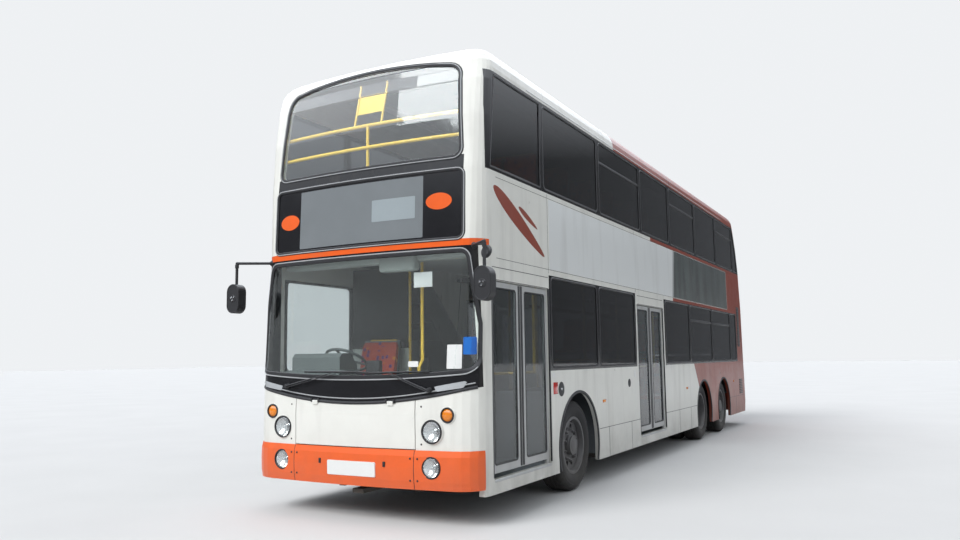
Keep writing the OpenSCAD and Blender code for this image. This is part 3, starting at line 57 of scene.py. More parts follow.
# ---------------------------------------------------------------- sizes and colours
class BusSizes(bpy.types.PropertyGroup):
    seal_width: bpy.props.FloatProperty(name="Seal width", description="Width of the windscreens' rubber seals", default=0.046, unit="LENGTH")
    bead_radius: bpy.props.FloatProperty(name="Bead radius", description="Radius of the pale bead in a seal", default=0.006, unit="LENGTH")
    window_seal: bpy.props.FloatProperty(name="Window seal", description="Width of the side windows' seals", default=0.016, unit="LENGTH")
    tread_depth: bpy.props.FloatProperty(name="Tread depth", description="Depth of the tyres' grooves", default=0.009, unit="LENGTH")
    nut_count: bpy.props.IntProperty(name="Wheel nuts", description="Number of nuts on a wheel", default=10, min=6, max=12)
    seat_gap: bpy.props.FloatProperty(name="Seat gap", description="Gap between the two cushions of a pair", default=0.02, unit="LENGTH")
    grime_height: bpy.props.FloatProperty(name="Grime height", description="Height up to which road dirt reaches", default=0.95, unit="LENGTH")


def colour(label, value):
    return bpy.props.FloatVectorProperty(name=label, description="Base colour of " + label.lower(), size=4, subtype="COLOR", default=(*value, 1.0), min=0.0, max=1.0)


class BusColours(bpy.types.PropertyGroup):
    white: colour("White paint", (0.74, 0.74, 0.70))
    orange: colour("Orange paint", (0.76, 0.112, 0.016))
    # darker orange of the side lines, tail, slash and roof edge: partly the paint's own tone, partly painted shade
    coral: colour("Side orange with painted shade", (0.24, 0.038, 0.018))
    black: colour("Black mouldings", (0.012, 0.012, 0.014))
    seal: colour("Rubber seals", (0.02, 0.02, 0.022))
    bead: colour("Seal beads", (0.35, 0.36, 0.37))
    door: colour("Door frames", (0.50, 0.51, 0.51))
    yellow: colour("Handrails", (0.80, 0.52, 0.05))
    moquette: colour("Seat cloth", (0.45, 0.06, 0.03))
    shell: colour("Seat shells", (0.16, 0.17, 0.19))
    lining: colour("Interior lining", (0.46, 0.50, 0.47))
    floor: colour("Floor covering", (0.10, 0.11, 0.12))
    rim: colour("Wheel rims", (0.10, 0.10, 0.105))
    tyre: colour("Tyres", (0.014, 0.014, 0.015))
    board: colour("Side board", (0.66, 0.68, 0.68))


# ---------------------------------------------------------------- shape of the body
PROFILE = ((0.262, 0.040, 0.070), (0.480, 0.030, 0.0), (0.950, 0.022, 0.010), (1.283, 0.040, 0.040), (2.357, 0.127, 0.078),
           (3.120, 0.153, 0.190), (3.250, 0.167, 0.225), (3.609856, 0.190, 0.350), (3.959716, 0.235, 0.540))
CORNERS = ((1.283, 0.260), (2.357, 0.205), (3.250, 0.150))
BOW = 0.094
CANT_Z, EDGE_R = 4.083, 0.25
STATIONS = [(z, HALF_W, f, r) for z, f, r in PROFILE]
for step in range(7):
    turn = math.radians(15 * step)
    STATIONS.append((CANT_Z + EDGE_R * math.sin(turn), HALF_W - EDGE_R * (1 - math.cos(turn)),
                     0.27 + 0.295 * (1 - math.cos(turn)), 0.62 + 0.32 * (1 - math.cos(turn))))
for step in range(1, 5):
    part = step / 4
    w = 1.0 + (0.06 - 1.0) * part
    STATIONS.append((4.4 - 0.067 * w * w, w, 0.565 + 0.38 * part * part, 0.94 + 0.7 * part * part))


def between_rows(rows, z, column):
    """Value of a column at height z, from rows that start with their height."""
    if z <= rows[0][0]:
        return rows[0][column]
    for low, high in zip(rows, rows[1:]):
        if z <= high[0]:
            return low[column] + (high[column] - low[column]) * (z - low[0]) / (high[0] - low[0])
    return rows[-1][column]


def station(z, column):
    """Value of a column of the stations at height z."""
    return between_rows(STATIONS, z, column)


def front_line(z, out=0.0):
    """Right half of the front's outline at height z, moved outwards, as points from the middle to the side."""
    w, f = station(z, 1) + out, station(z, 2) - out
    rf = min(between_rows(CORNERS, z, 1) + out, w * 0.6)
    lean = math.atan(2 * BOW * w / HALF_W ** 2)
    xe = w - rf + rf * math.sin(lean)
    cy = f + BOW * (xe / HALF_W) ** 2 + rf * math.cos(lean)
    points = [(xe * i / 6, f + BOW * (xe * i / 6 / HALF_W) ** 2) for i in range(6)]
    for i in range(6):
        a = lean - math.pi / 2 + (math.pi / 2 - lean) * i / 5
        points.append((w - rf + rf * math.cos(a), cy + rf * math.sin(a)))
    return points


def front_point(x, z, out=0.0):
    """Point of the front's surface above (x, z), moved outwards."""
    line = front_line(z, out)
    side, reach = (1 if x >= 0 else -1), abs(x)
    for a, b in zip(line, line[1:]):
        if reach <= b[0]:
            y = a[1] + (b[1] - a[1]) * (reach - a[0]) / max(b[0] - a[0], 1e-6)
            return Vector((x, y - MID, z))
    return Vector((side * line[-1][0], line[-1][1] - MID, z))


def front_normal(x, z):
    return (front_point(x * 1.004, z, 0.02) - front_point(x, z, 0.0)).normalized()


def rear_point(x, z, out=0.0):
    return Vector((x, 12.0 - station(z, 3) + out - MID, z))


def rounded(x0, z0, x1, z1, r, n=5):
    """Rounded rectangle, counter-clockwise."""
    loop = []
    for cx, cz, start in ((x1 - r, z0 + r, -90), (x1 - r, z1 - r, 0), (x0 + r, z1 - r, 90), (x0 + r, z0 + r, 180)):
        for i in range(n + 1):
            a = math.radians(start + 90 * i / n)
            loop.append((cx + r * math.cos(a), cz + r * math.sin(a)))
    return loop


def trapeze(w0, w1, z0, z1, r0, r1, n=5):
    loop = []
    for cx, cz, r, start in ((w0 - r0, z0 + r0, r0, -90), (w1 - r1, z1 - r1, r1, 0), (-w1 + r1, z1 - r1, r1, 90), (-w0 + r0, z0 + r0, r0, 180)):
        for i in range(n + 1):
            a = math.radians(start + 90 * i / n)
            loop.append((cx + r * math.cos(a), cz + r * math.sin(a)))
    return loop


def dense(loop, step, closed=True):
    """The loop with extra points, none more than step apart."""
    out = []
    pairs = zip(loop, loop[1:] + (loop[:1] if closed else []))
    for a, b in pairs:
        count = max(1, math.ceil(math.dist(a, b) / step))
        for i in range(count):
            out.append(tuple(p + (q - p) * i / count for p, q in zip(a, b)))
    if not closed:
        out.append(tuple(loop[-1]))
    return out


# ---------------------------------------------------------------- mesh building
class Form:
    """The verts and faces of one piece. Places are in metres, with y from the foremost plane of the body."""

    def __init__(self, shift=True):
        self.verts, self.faces, self.marks, self.mark = [], [], [], 0
        self.move = Vector((0, -MID, 0)) if shift else Vector()

    def add(self, verts, faces):
        base = len(self.verts)
        self.verts += [Vector(v) + self.move for v in verts]
        self.faces += [[i + base for i in f] for f in faces]
        self.marks += [self.mark] * len(faces)

    def grid(self, rows, around=True, along=False, caps=False):
        """Faces between rows of points; around closes each row, along joins the last row to the first."""
        n, m = len(rows[0]), len(rows)
        faces = []
        for k in range(m if along else m - 1):
            for i in range(n if around else n - 1):
                a, b = k * n + i, k * n + (i + 1) % n
                c, d = ((k + 1) % m) * n + (i + 1) % n, ((k + 1) % m) * n + i
                faces.append([a, b, c, d])
        if caps:
            faces += [list(range(n - 1, -1, -1)), [(m - 1) * n + i for i in range(n)]]
        self.add([p for row in rows for p in row], faces)

    def tube(self, path, r, n=10, closed=False, flat=1.0):
        path = [Vector(p) for p in path]
        rows, up = [], None
        for i, p in enumerate(path):
            before = path[i - 1] if (i or closed) else p
            after = path[(i + 1) % len(path)] if (i < len(path) - 1 or closed) else p
            along = (after - before).normalized()
            if up is None:
                up = Vector((0, 0, 1)) if abs(along.z) < 0.9 else Vector((1, 0, 0))
            side = along.cross(up).normalized()
            up = side.cross(along).normalized()
            radius = r[i] if isinstance(r, (list, tuple)) else r
            rows.append([p + (side * math.cos(2 * math.pi * k / n) + up * math.sin(2 * math.pi * k / n) * flat) * radius for k in range(n)])
        self.grid(rows, along=closed, caps=not closed)

    def sweep(self, path, normals, section, closed=True):
        """A section of (across, out) points swept along a path on a surface."""
        path = [Vector(p) for p in path]
        rows = []
        for i, (p, normal) in enumerate(zip(path, normals)):
            before = path[i - 1] if (i or closed) else p
            after = path[(i + 1) % len(path)] if (i < len(path) - 1 or closed) else p
            across = (after - before).normalized().cross(normal).normalized()
            rows.append([p + across * u + normal * v for u, v in section])
        self.grid(rows, along=closed, caps=not closed)

    def lathe(self, profile, centre, axis, n=32, closed=False):
        """A profile of (radius, along) points turned about an axis."""
        axis = Vector(axis).normalized()
        side = axis.orthogonal().normalized()
        other = axis.cross(side)
        centre = Vector(centre)
        rows = []
        for k in range(n):
            a = 2 * math.pi * k / n
            ray = side * math.cos(a) + other * math.sin(a)
            rows.append([centre + ray * r + axis * h for r, h in profile])
        self.grid(rows, around=closed, along=True)

    def slab(self, low, high, bevel=0.004, turn=None, segments=2):
        """A box with rounded edges, optionally turned by a matrix."""
        low, high = Vector(low), Vector(high)
        bm = bmesh.new()
        bmesh.ops.create_cube(bm, size=1.0)
        size = high - low
        for v in bm.verts:
            v.co = Vector(c * s for c, s in zip(v.co, size))
        if bevel:
            bmesh.ops.bevel(bm, geom=bm.edges[:], offset=min(bevel, min(size) * 0.45), segments=segments, affect="EDGES", profile=0.5)
        if turn is not None:
            bmesh.ops.transform(bm, matrix=turn, verts=bm.verts)
        centre = (low + high) / 2
        bm.verts.ensure_lookup_table()
        self.add([v.co + centre for v in bm.verts], [[v.index for v in f.verts] for f in bm.faces])
        bm.free()

    def plate(self, loop, inner, depth):
        """A flat plate: a loop of 3-D points, a smaller loop in front of it and the depth vector behind it."""
        back = [Vector(p) + Vector(depth) for p in loop]
        rows = [back, [Vector(p) for p in loop], [Vector(p) for p in inner]]
        self.grid(rows, caps=True)

    def make(self, name, materials, body="body", slot=None, angle=35, replaces=(), flip=False):
        mesh = bpy.data.meshes.new(name)
        mesh.from_pydata([tuple(v) for v in self.verts], [], self.faces)
        bm = bmesh.new()
        bm.from_mesh(mesh)
        bmesh.ops.remove_doubles(bm, verts=bm.verts, dist=1e-5)
        bmesh.ops.recalc_face_normals(bm, faces=bm.faces)
        bm.to_mesh(mesh)
        bm.free()
        for m in materials:
            mesh.materials.append(m)
        if len(materials) > 1 and len(mesh.polygons) == len(self.marks):
            mesh.polygons.foreach_set("material_index", self.marks)
        mesh.polygons.foreach_set("use_smooth", [True] * len(mesh.polygons))
        mesh.set_sharp_from_angle(angle=math.radians(angle))
        piece = bpy.data.objects.new(name, mesh)
        bpy.context.scene.collection.objects.link(piece)
        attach(piece, body)
        if replaces:
            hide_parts(*replaces)
        return piece


# ---------------------------------------------------------------- material building
class Graph:
    """Short ways to add nodes to a tree."""

    def __init__(self, tree):
        self.tree, self.count = tree, 0

    def node(self, kind, **settings):
        n = self.tree.nodes.new(kind)
        for key, value in settings.items():
            setattr(n, key, value)
        n.location = (200 * (self.count % 8), -220 * (self.count // 8))
        self.count += 1
        return n

    def put(self, socket, value):
        if isinstance(value, bpy.types.NodeSocket):
            self.tree.links.new(value, socket)
        elif value is not None:
            socket.default_value = value

    def math(self, op, a, b=0.0, clamp=False):
        n = self.node("ShaderNodeMath", operation=op, use_clamp=clamp)
        self.put(n.inputs[0], a)
        self.put(n.inputs[1], b)
        return n.outputs[0]

    def both(self, *masks):
        out = masks[0]
        for m in masks[1:]:
            out = self.math("MULTIPLY", out, m)
        return out

    def either(self, *masks):
        out = masks[0]
        for m in masks[1:]:
            out = self.math("MAXIMUM", out, m)
        return out

    def more(self, a, b):
        return self.math("GREATER_THAN", a, b)

    def less(self, a, b):
        return self.math("LESS_THAN", a, b)

    def within(self, a, low, high):
        return self.both(self.more(a, low), self.less(a, high))

    def mix(self, fac, a, b, kind="MIX"):
        n = self.node("ShaderNodeMix", data_type="RGBA", blend_type=kind)
        self.put(n.inputs[0], fac)
        self.put(n.inputs[6], a)
        self.put(n.inputs[7], b)
        return n.outputs[2]

    def noise(self, vector, scale, detail=3.0, rough=0.5, stretch=None):
        if stretch:
            scaled = self.node("ShaderNodeVectorMath", operation="MULTIPLY")
            self.put(scaled.inputs[0], vector)
            scaled.inputs[1].default_value = stretch
            vector = scaled.outputs[0]
        n = self.node("ShaderNodeTexNoise")
        self.put(n.inputs["Vector"], vector)
        self.put(n.inputs["Scale"], scale)
        n.inputs["Detail"].default_value = detail
        n.inputs["Roughness"].default_value = rough
        return n.outputs["Fac"]

    def remap(self, value, low, high, to_low=0.0, to_high=1.0):
        n = self.node("ShaderNodeMapRange")
        self.put(n.inputs[0], value)
        for i, v in enumerate((low, high, to_low, to_high)):
            self.put(n.inputs[i + 1], v)
        return n.outputs[0]

    def split(self, vector):
        n = self.node("ShaderNodeSeparateXYZ")
        self.put(n.inputs[0], vector)
        return n.outputs

    def place(self):
        return self.node("ShaderNodeTexCoord").outputs["Object"]

    def bump(self, height, strength, distance):
        n = self.node("ShaderNodeBump")
        n.inputs["Strength"].default_value = strength
        n.inputs["Distance"].default_value = distance
        self.put(n.inputs["Height"], height)
        return n.outputs[0]

    def group(self, tree, **values):
        n = self.node("ShaderNodeGroup", node_tree=tree)
        for key, value in values.items():
            self.put(n.inputs[key.replace("_", " ")], value)
        return n.outputs


def make_group(name, inputs, outputs, fill):
    """A shader node group with named sockets, filled by a function of the graph, its inputs and its outputs."""
    tree = bpy.data.node_groups.new(name, "ShaderNodeTree")
    for label, kind, default in inputs:
        socket = tree.interface.new_socket(label, in_out="INPUT", socket_type=kind)
        if default is not None:
            socket.default_value = default
    for label, kind in outputs:
        tree.interface.new_socket(label, in_out="OUTPUT", socket_type=kind)
    g = Graph(tree)
    source, sink = g.node("NodeGroupInput"), g.node("NodeGroupOutput")
    for label, value in fill(g, source.outputs).items():
        g.put(sink.inputs[label], value)
    return tree


FLOAT, VECTOR, COLOUR = "NodeSocketFloat", "NodeSocketVector", "NodeSocketColor"


def fill_livery(g, i):
    """Paint scheme by place: white body, orange collar, a darker orange holding painted shade on the tail, lines and
    roof edge, black glazing bands.
    """
    x, y, z = g.split(i["Place"])
    y = g.math("ADD", y, MID)
    ax = g.math("ABSOLUTE", x)
    # tail: slanted line low down, upright line between the decks
    slant = g.math("ADD", y, g.math("MULTIPLY", z, 0.757))
    low_tail = g.both(g.less(z, 1.312), g.more(slant, 8.544))
    tail = g.more(y, 10.42)
    line_low = g.both(g.within(z, 2.262, 2.312), g.within(y, 6.40, 10.5))
    line_high = g.both(g.within(z, 3.062, 3.115), g.within(y, 5.30, 10.5))
    roof_edge = g.both(g.more(z, 4.047), g.more(y, 3.8), g.more(ax, 1.02))
    collar = g.both(g.within(z, 2.415, 2.475), g.less(y, 0.37))
    orange = g.either(collar)
    # the tail, lines and roof edge take the darker orange: its own tone plus painted shade
    darker_orange_and_shade = g.either(low_tail, tail, line_low, line_high, roof_edge)
    # black bands: lower windows of each side, upper windows, round the windscreens
    near, off = g.more(x, 0.0), g.less(x, 0.0)
    low_band = g.within(z, 1.293, 2.262)
    near_y = g.either(g.within(y, 1.655, 4.512), g.within(y, 5.872, 11.225))
    off_y = g.either(g.within(y, 0.47, 1.655), g.within(y, 4.28, 5.215), g.within(y, 6.115, 11.225))
    lower = g.both(low_band, g.more(ax, 1.19), g.either(g.both(near, near_y), g.both(off, off_y)))
    head = g.math("MULTIPLY", g.math("SUBTRACT", z, 3.135), 0.022)
    head = g.math("ADD", head, g.math("MULTIPLY", g.math("MAXIMUM", g.math("SUBTRACT", z, 3.7), 0.0), 0.075))
    rear_cut = g.math("SUBTRACT", 11.70, g.math("MULTIPLY", g.math("MAXIMUM", g.math("SUBTRACT", z, 3.5), 0.0), 0.93))
    upper = g.both(g.within(z, 3.112, 4.047), g.more(ax, 1.15), g.more(g.math("SUBTRACT", y, head), 0.327), g.less(y, rear_cut))
    between = g.both(g.within(z, 3.095, 3.24), g.less(ax, 1.079), g.less(y, 0.6))
    edge = g.math("ADD", 1.038, g.math("MULTIPLY", g.math("POWER", g.math("DIVIDE", ax, 1.205), 2.0), 0.141))
    mask = g.both(g.more(z, edge), g.less(z, 2.415), g.either(g.less(y, 0.2615), g.both(off, g.less(y, 0.42))))
    trim = g.either(lower, upper, between, mask)
    paint = g.mix(orange, i["White"], i["Orange"])
    paint = g.mix(darker_orange_and_shade, paint, i["Coral"])
    return {"Color": g.mix(trim, paint, i["Trim"]), "Trim mask": trim}


def fill_grime(g, i):
    """Road dirt: thick near the ground, in streaks above, with a fine patchy film all over."""
    x, y, z = g.split(i["Place"])
    patch = g.noise(i["Place"], 2.6, 4.0, 0.6)
    streak = g.noise(i["Place"], 5.0, 3.0, 0.55, stretch=(1.0, 1.0, 0.12))
    low = g.remap(z, 0.2, i["Height"], 1.0, 0.0)
    film = g.math("MULTIPLY", g.math("POWER", low, 1.6), g.remap(patch, 0.3, 0.7, 0.35, 1.0))
    runs = g.math("MULTIPLY", g.remap(streak, 0.52, 0.78, 0.0, 1.0), 0.22)
    amount = g.math("MULTIPLY", g.math("ADD", g.math("MULTIPLY", film, 0.55), runs), i["Strength"], clamp=True)
    return {"Color": g.mix(amount, i["Color"], i["Dirt"]), "Amount": amount}


def fill_surface(g, i):
    """Small changes of colour, gloss and height that a moulded, painted or cast surface has."""
    broad = g.noise(i["Place"], 3.0, 4.0, 0.6)
    fine = g.noise(i["Place"], i["Scale"], 3.0, 0.55)
    shade = g.remap(g.math("ADD", g.math("MULTIPLY", broad, 0.6), g.math("MULTIPLY", fine, 0.4)), 0.3, 0.7, -1.0, 1.0)
    level = g.math("ADD", 1.0, g.math("MULTIPLY", shade, i["Variation"]))
    tinted = g.node("ShaderNodeVectorMath", operation="SCALE")
    g.put(tinted.inputs[0], i["Color"])
    g.put(tinted.inputs["Scale"], level)
    rough = g.math("ADD", i["Roughness"], g.math("MULTIPLY", shade, 0.06), clamp=True)
    return {"Color": tinted.outputs[0], "Roughness": rough, "Height": fine}


def fill_moquette(g, i):
    """Bus seat cloth: a dark ground with rows of small bright patches and a pile grain."""
    cells = g.node("ShaderNodeTexVoronoi", feature="F1", distance="CHEBYCHEV")
    g.put(cells.inputs["Vector"], i["Place"])
    cells.inputs["Scale"].default_value = 16.0
    cells.inputs["Randomness"].default_value = 0.75
    parts = g.node("ShaderNodeSeparateColor")
    g.put(parts.inputs[0], cells.outputs["Color"])
    pick = parts.outputs[0]
    patch = g.less(cells.outputs["Distance"], 0.28)
    bright = g.mix(g.more(pick, 0.5), i["Accent"], i["Second"])
    pile = g.noise(i["Place"], 900.0, 2.0, 0.6)
    cloth = g.mix(g.both(patch, g.more(pick, 0.22)), i["Ground"], bright)
    shade = g.remap(pile, 0.3, 0.7, 0.8, 1.1)
    lit = g.node("ShaderNodeVectorMath", operation="SCALE")
    g.put(lit.inputs[0], cloth)
    g.put(lit.inputs["Scale"], shade)
    return {"Color": lit.outputs[0], "Height": pile}


GROUPS, MATERIALS = {}, {}


def build_groups():
    GROUPS["livery"] = make_group("Bus livery", [("Place", VECTOR, None), ("White", COLOUR, None), ("Orange", COLOUR, None), ("Coral", COLOUR, None), ("Trim", COLOUR, None)],
                                  [("Color", COLOUR), ("Trim mask", FLOAT)], fill_livery)
    GROUPS["grime"] = make_group("Road grime", [("Place", VECTOR, None), ("Color", COLOUR, None), ("Dirt", COLOUR, (0.14, 0.125, 0.105, 1)), ("Height", FLOAT, 0.95), ("Strength", FLOAT, 1.0)],
                                 [("Color", COLOUR), ("Amount", FLOAT)], fill_grime)
    GROUPS["surface"] = make_group("Worked surface", [("Place", VECTOR, None), ("Color", COLOUR, None), ("Scale", FLOAT, 60.0), ("Variation", FLOAT, 0.06), ("Roughness", FLOAT, 0.4)],
                                   [("Color", COLOUR), ("Roughness", FLOAT), ("Height", FLOAT)], fill_surface)
    GROUPS["moquette"] = make_group("Moquette", [("Place", VECTOR, None), ("Ground", COLOUR, None), ("Accent", COLOUR, None), ("Second", COLOUR, None)],
                                    [("Color", COLOUR), ("Height", FLOAT)], fill_moquette)


def new_material(name):
    m = bpy.data.materials.new(name)
    m.use_nodes = True
    g = Graph(m.node_tree)
    shader = m.node_tree.nodes["Principled BSDF"]
    MATERIALS[name] = m
    return m, g, shader


def worked(name, base, rough=0.4, metallic=0.0, scale=60.0, variation=0.06, bump=0.0, grain=0.001, coat=0.0, grime=0.0, ior=1.45, alpha=None):
    """A material whose colour, gloss and height vary as a worked surface, with road dirt where it's asked for."""
    m, g, shader = new_material(name)
    place = g.place()
    out = g.group(GROUPS["surface"], Place=place, Color=base, Scale=scale, Variation=variation, Roughness=rough)
    tint, gloss = out["Color"], out["Roughness"]
    if grime:
        dirt = g.group(GROUPS["grime"], Place=place, Color=tint, Strength=grime, Height=bpy.context.scene.bus_sizes.grime_height)
        tint, gloss = dirt["Color"], g.math("ADD", gloss, g.math("MULTIPLY", dirt["Amount"], 0.35), clamp=True)
    g.put(shader.inputs["Base Color"], tint)
    g.put(shader.inputs["Roughness"], gloss)
    shader.inputs["Metallic"].default_value = metallic
    shader.inputs["Coat Weight"].default_value = coat
    shader.inputs["Coat Roughness"].default_value = 0.08
    shader.inputs["IOR"].default_value = ior
    if bump:
        g.put(shader.inputs["Normal"], g.bump(out["Height"], bump, grain))
    return m


def painted_body(name, white, orange, coral, trim, grime):
    """Painted panels with the livery by place."""
    m, g, shader = new_material(name)
    place = g.place()
    paint = g.group(GROUPS["livery"], Place=place, White=white, Orange=orange, Coral=coral, Trim=trim)
    out = g.group(GROUPS["surface"], Place=place, Color=paint["Color"], Scale=9.0, Variation=0.035, Roughness=0.32)
    dirt = g.group(GROUPS["grime"], Place=place, Color=out["Color"], Strength=grime, Height=bpy.context.scene.bus_sizes.grime_height)
    g.put(shader.inputs["Base Color"], dirt["Color"])
    gloss = g.math("ADD", out["Roughness"], g.math("MULTIPLY", dirt["Amount"], 0.4))
    g.put(shader.inputs["Roughness"], g.math("SUBTRACT", gloss, g.math("MULTIPLY", paint["Trim mask"], 0.16), clamp=True))
    g.put(shader.inputs["Normal"], g.bump(out["Height"], 0.05, 0.004))
    shader.inputs["Specular IOR Level"].default_value = 0.32
    shader.inputs["Coat Weight"].default_value = 0.15
    shader.inputs["Coat Roughness"].default_value = 0.06
    return m


def glass(name, tint, shade, ior=1.5, rough=0.01, cab=None):
    """Glass that light from the lamps passes as through a plain tint. The cab's own side window can be clearer."""
    m, g, shader = new_material(name)
    place = g.place()
    smear = g.noise(place, 3.0, 4.0, 0.6)
    g.put(shader.inputs["Roughness"], g.remap(smear, 0.35, 0.75, rough, rough + 0.05))
    base = g.mix(g.remap(smear, 0.3, 0.8, 0.0, 0.25), (*tint, 1), (*[c * 0.85 for c in tint], 1))
    if cab:
        x, y, z = g.split(place)
        base = g.mix(g.both(g.less(x, 0.0), g.less(y, 1.66 - MID), g.less(z, 2.4)), base, (*cab, 1))
    g.put(shader.inputs["Base Color"], base)
    shader.inputs["IOR"].default_value = ior
    shader.inputs["Transmission Weight"].default_value = 1.0
    clear = g.node("ShaderNodeBsdfTransparent")
    clear.inputs[0].default_value = (*shade, 1)
    mixed = g.node("ShaderNodeMixShader")
    g.put(mixed.inputs[0], g.node("ShaderNodeLightPath").outputs["Is Shadow Ray"])
    g.put(mixed.inputs[1], shader.outputs[0])
    g.put(mixed.inputs[2], clear.outputs[0])
    g.put(m.node_tree.nodes["Material Output"].inputs[0], mixed.outputs[0])
    return m


def door_frame(name, frame_colour, rail_colour):
    """Door leaf: satin frame outside, yellow powder coat on the rails inside."""
    m, g, shader = new_material(name)
    place = g.place()
    x = g.math("ABSOLUTE", g.split(place)[0])
    rail = g.less(x, 1.1835)
    out = g.group(GROUPS["surface"], Place=place, Color=g.mix(rail, frame_colour, rail_colour), Scale=120.0, Variation=0.05, Roughness=0.38)
    dirt = g.group(GROUPS["grime"], Place=place, Color=out["Color"], Strength=0.7, Height=1.1)
    g.put(shader.inputs["Base Color"], dirt["Color"])
    g.put(shader.inputs["Roughness"], out["Roughness"])
    g.put(shader.inputs["Metallic"], g.math("MULTIPLY", g.math("SUBTRACT", 1.0, rail), 0.35))
    g.put(shader.inputs["Normal"], g.bump(out["Height"], 0.04, 0.001))
    return m


def cloth(name, ground, accent, second):
    m, g, shader = new_material(name)
    out = g.group(GROUPS["moquette"], Place=g.place(), Ground=ground, Accent=accent, Second=second)
    g.put(shader.inputs["Base Color"], out["Color"])
    shader.inputs["Roughness"].default_value = 0.9
    shader.inputs["Sheen Weight"].default_value = 0.3
    g.put(shader.inputs["Normal"], g.bump(out["Height"], 0.35, 0.002))
    return m


def board_picture(name, pale, dark):
    """The long side board: bare pale field, and a plain dark field of soft upright bands towards the tail."""
    m, g, shader = new_material(name)
    place = g.place()
    x, y, z = g.split(place)
    y = g.math("ADD", y, MID)
    bands = g.noise(place, 3.2, 3.0, 0.6, stretch=(0.0, 1.0, 0.25))
    mottle = g.noise(place, 14.0, 4.0, 0.65)
    field = g.mix(g.remap(bands, 0.40, 0.62), (*dark, 1), (0.055, 0.072, 0.068, 1))
    field = g.mix(g.remap(mottle, 0.55, 0.8, 0.0, 0.7), field, (0.13, 0.13, 0.12, 1))
    start = g.math("SUBTRACT", y, g.math("MULTIPLY", g.math("SUBTRACT", z, 2.3), 0.16))
    picture = g.remap(start, 6.33, 6.47)
    base = g.mix(picture, pale, field)
    dirt = g.group(GROUPS["grime"], Place=place, Color=base, Strength=0.8, Height=0.9)
    g.put(shader.inputs["Base Color"], dirt["Color"])
    shader.inputs["Roughness"].default_value = 0.42
    shader.inputs["Coat Weight"].default_value = 0.1
    g.put(shader.inputs["Normal"], g.bump(mottle, 0.03, 0.003))
    return m


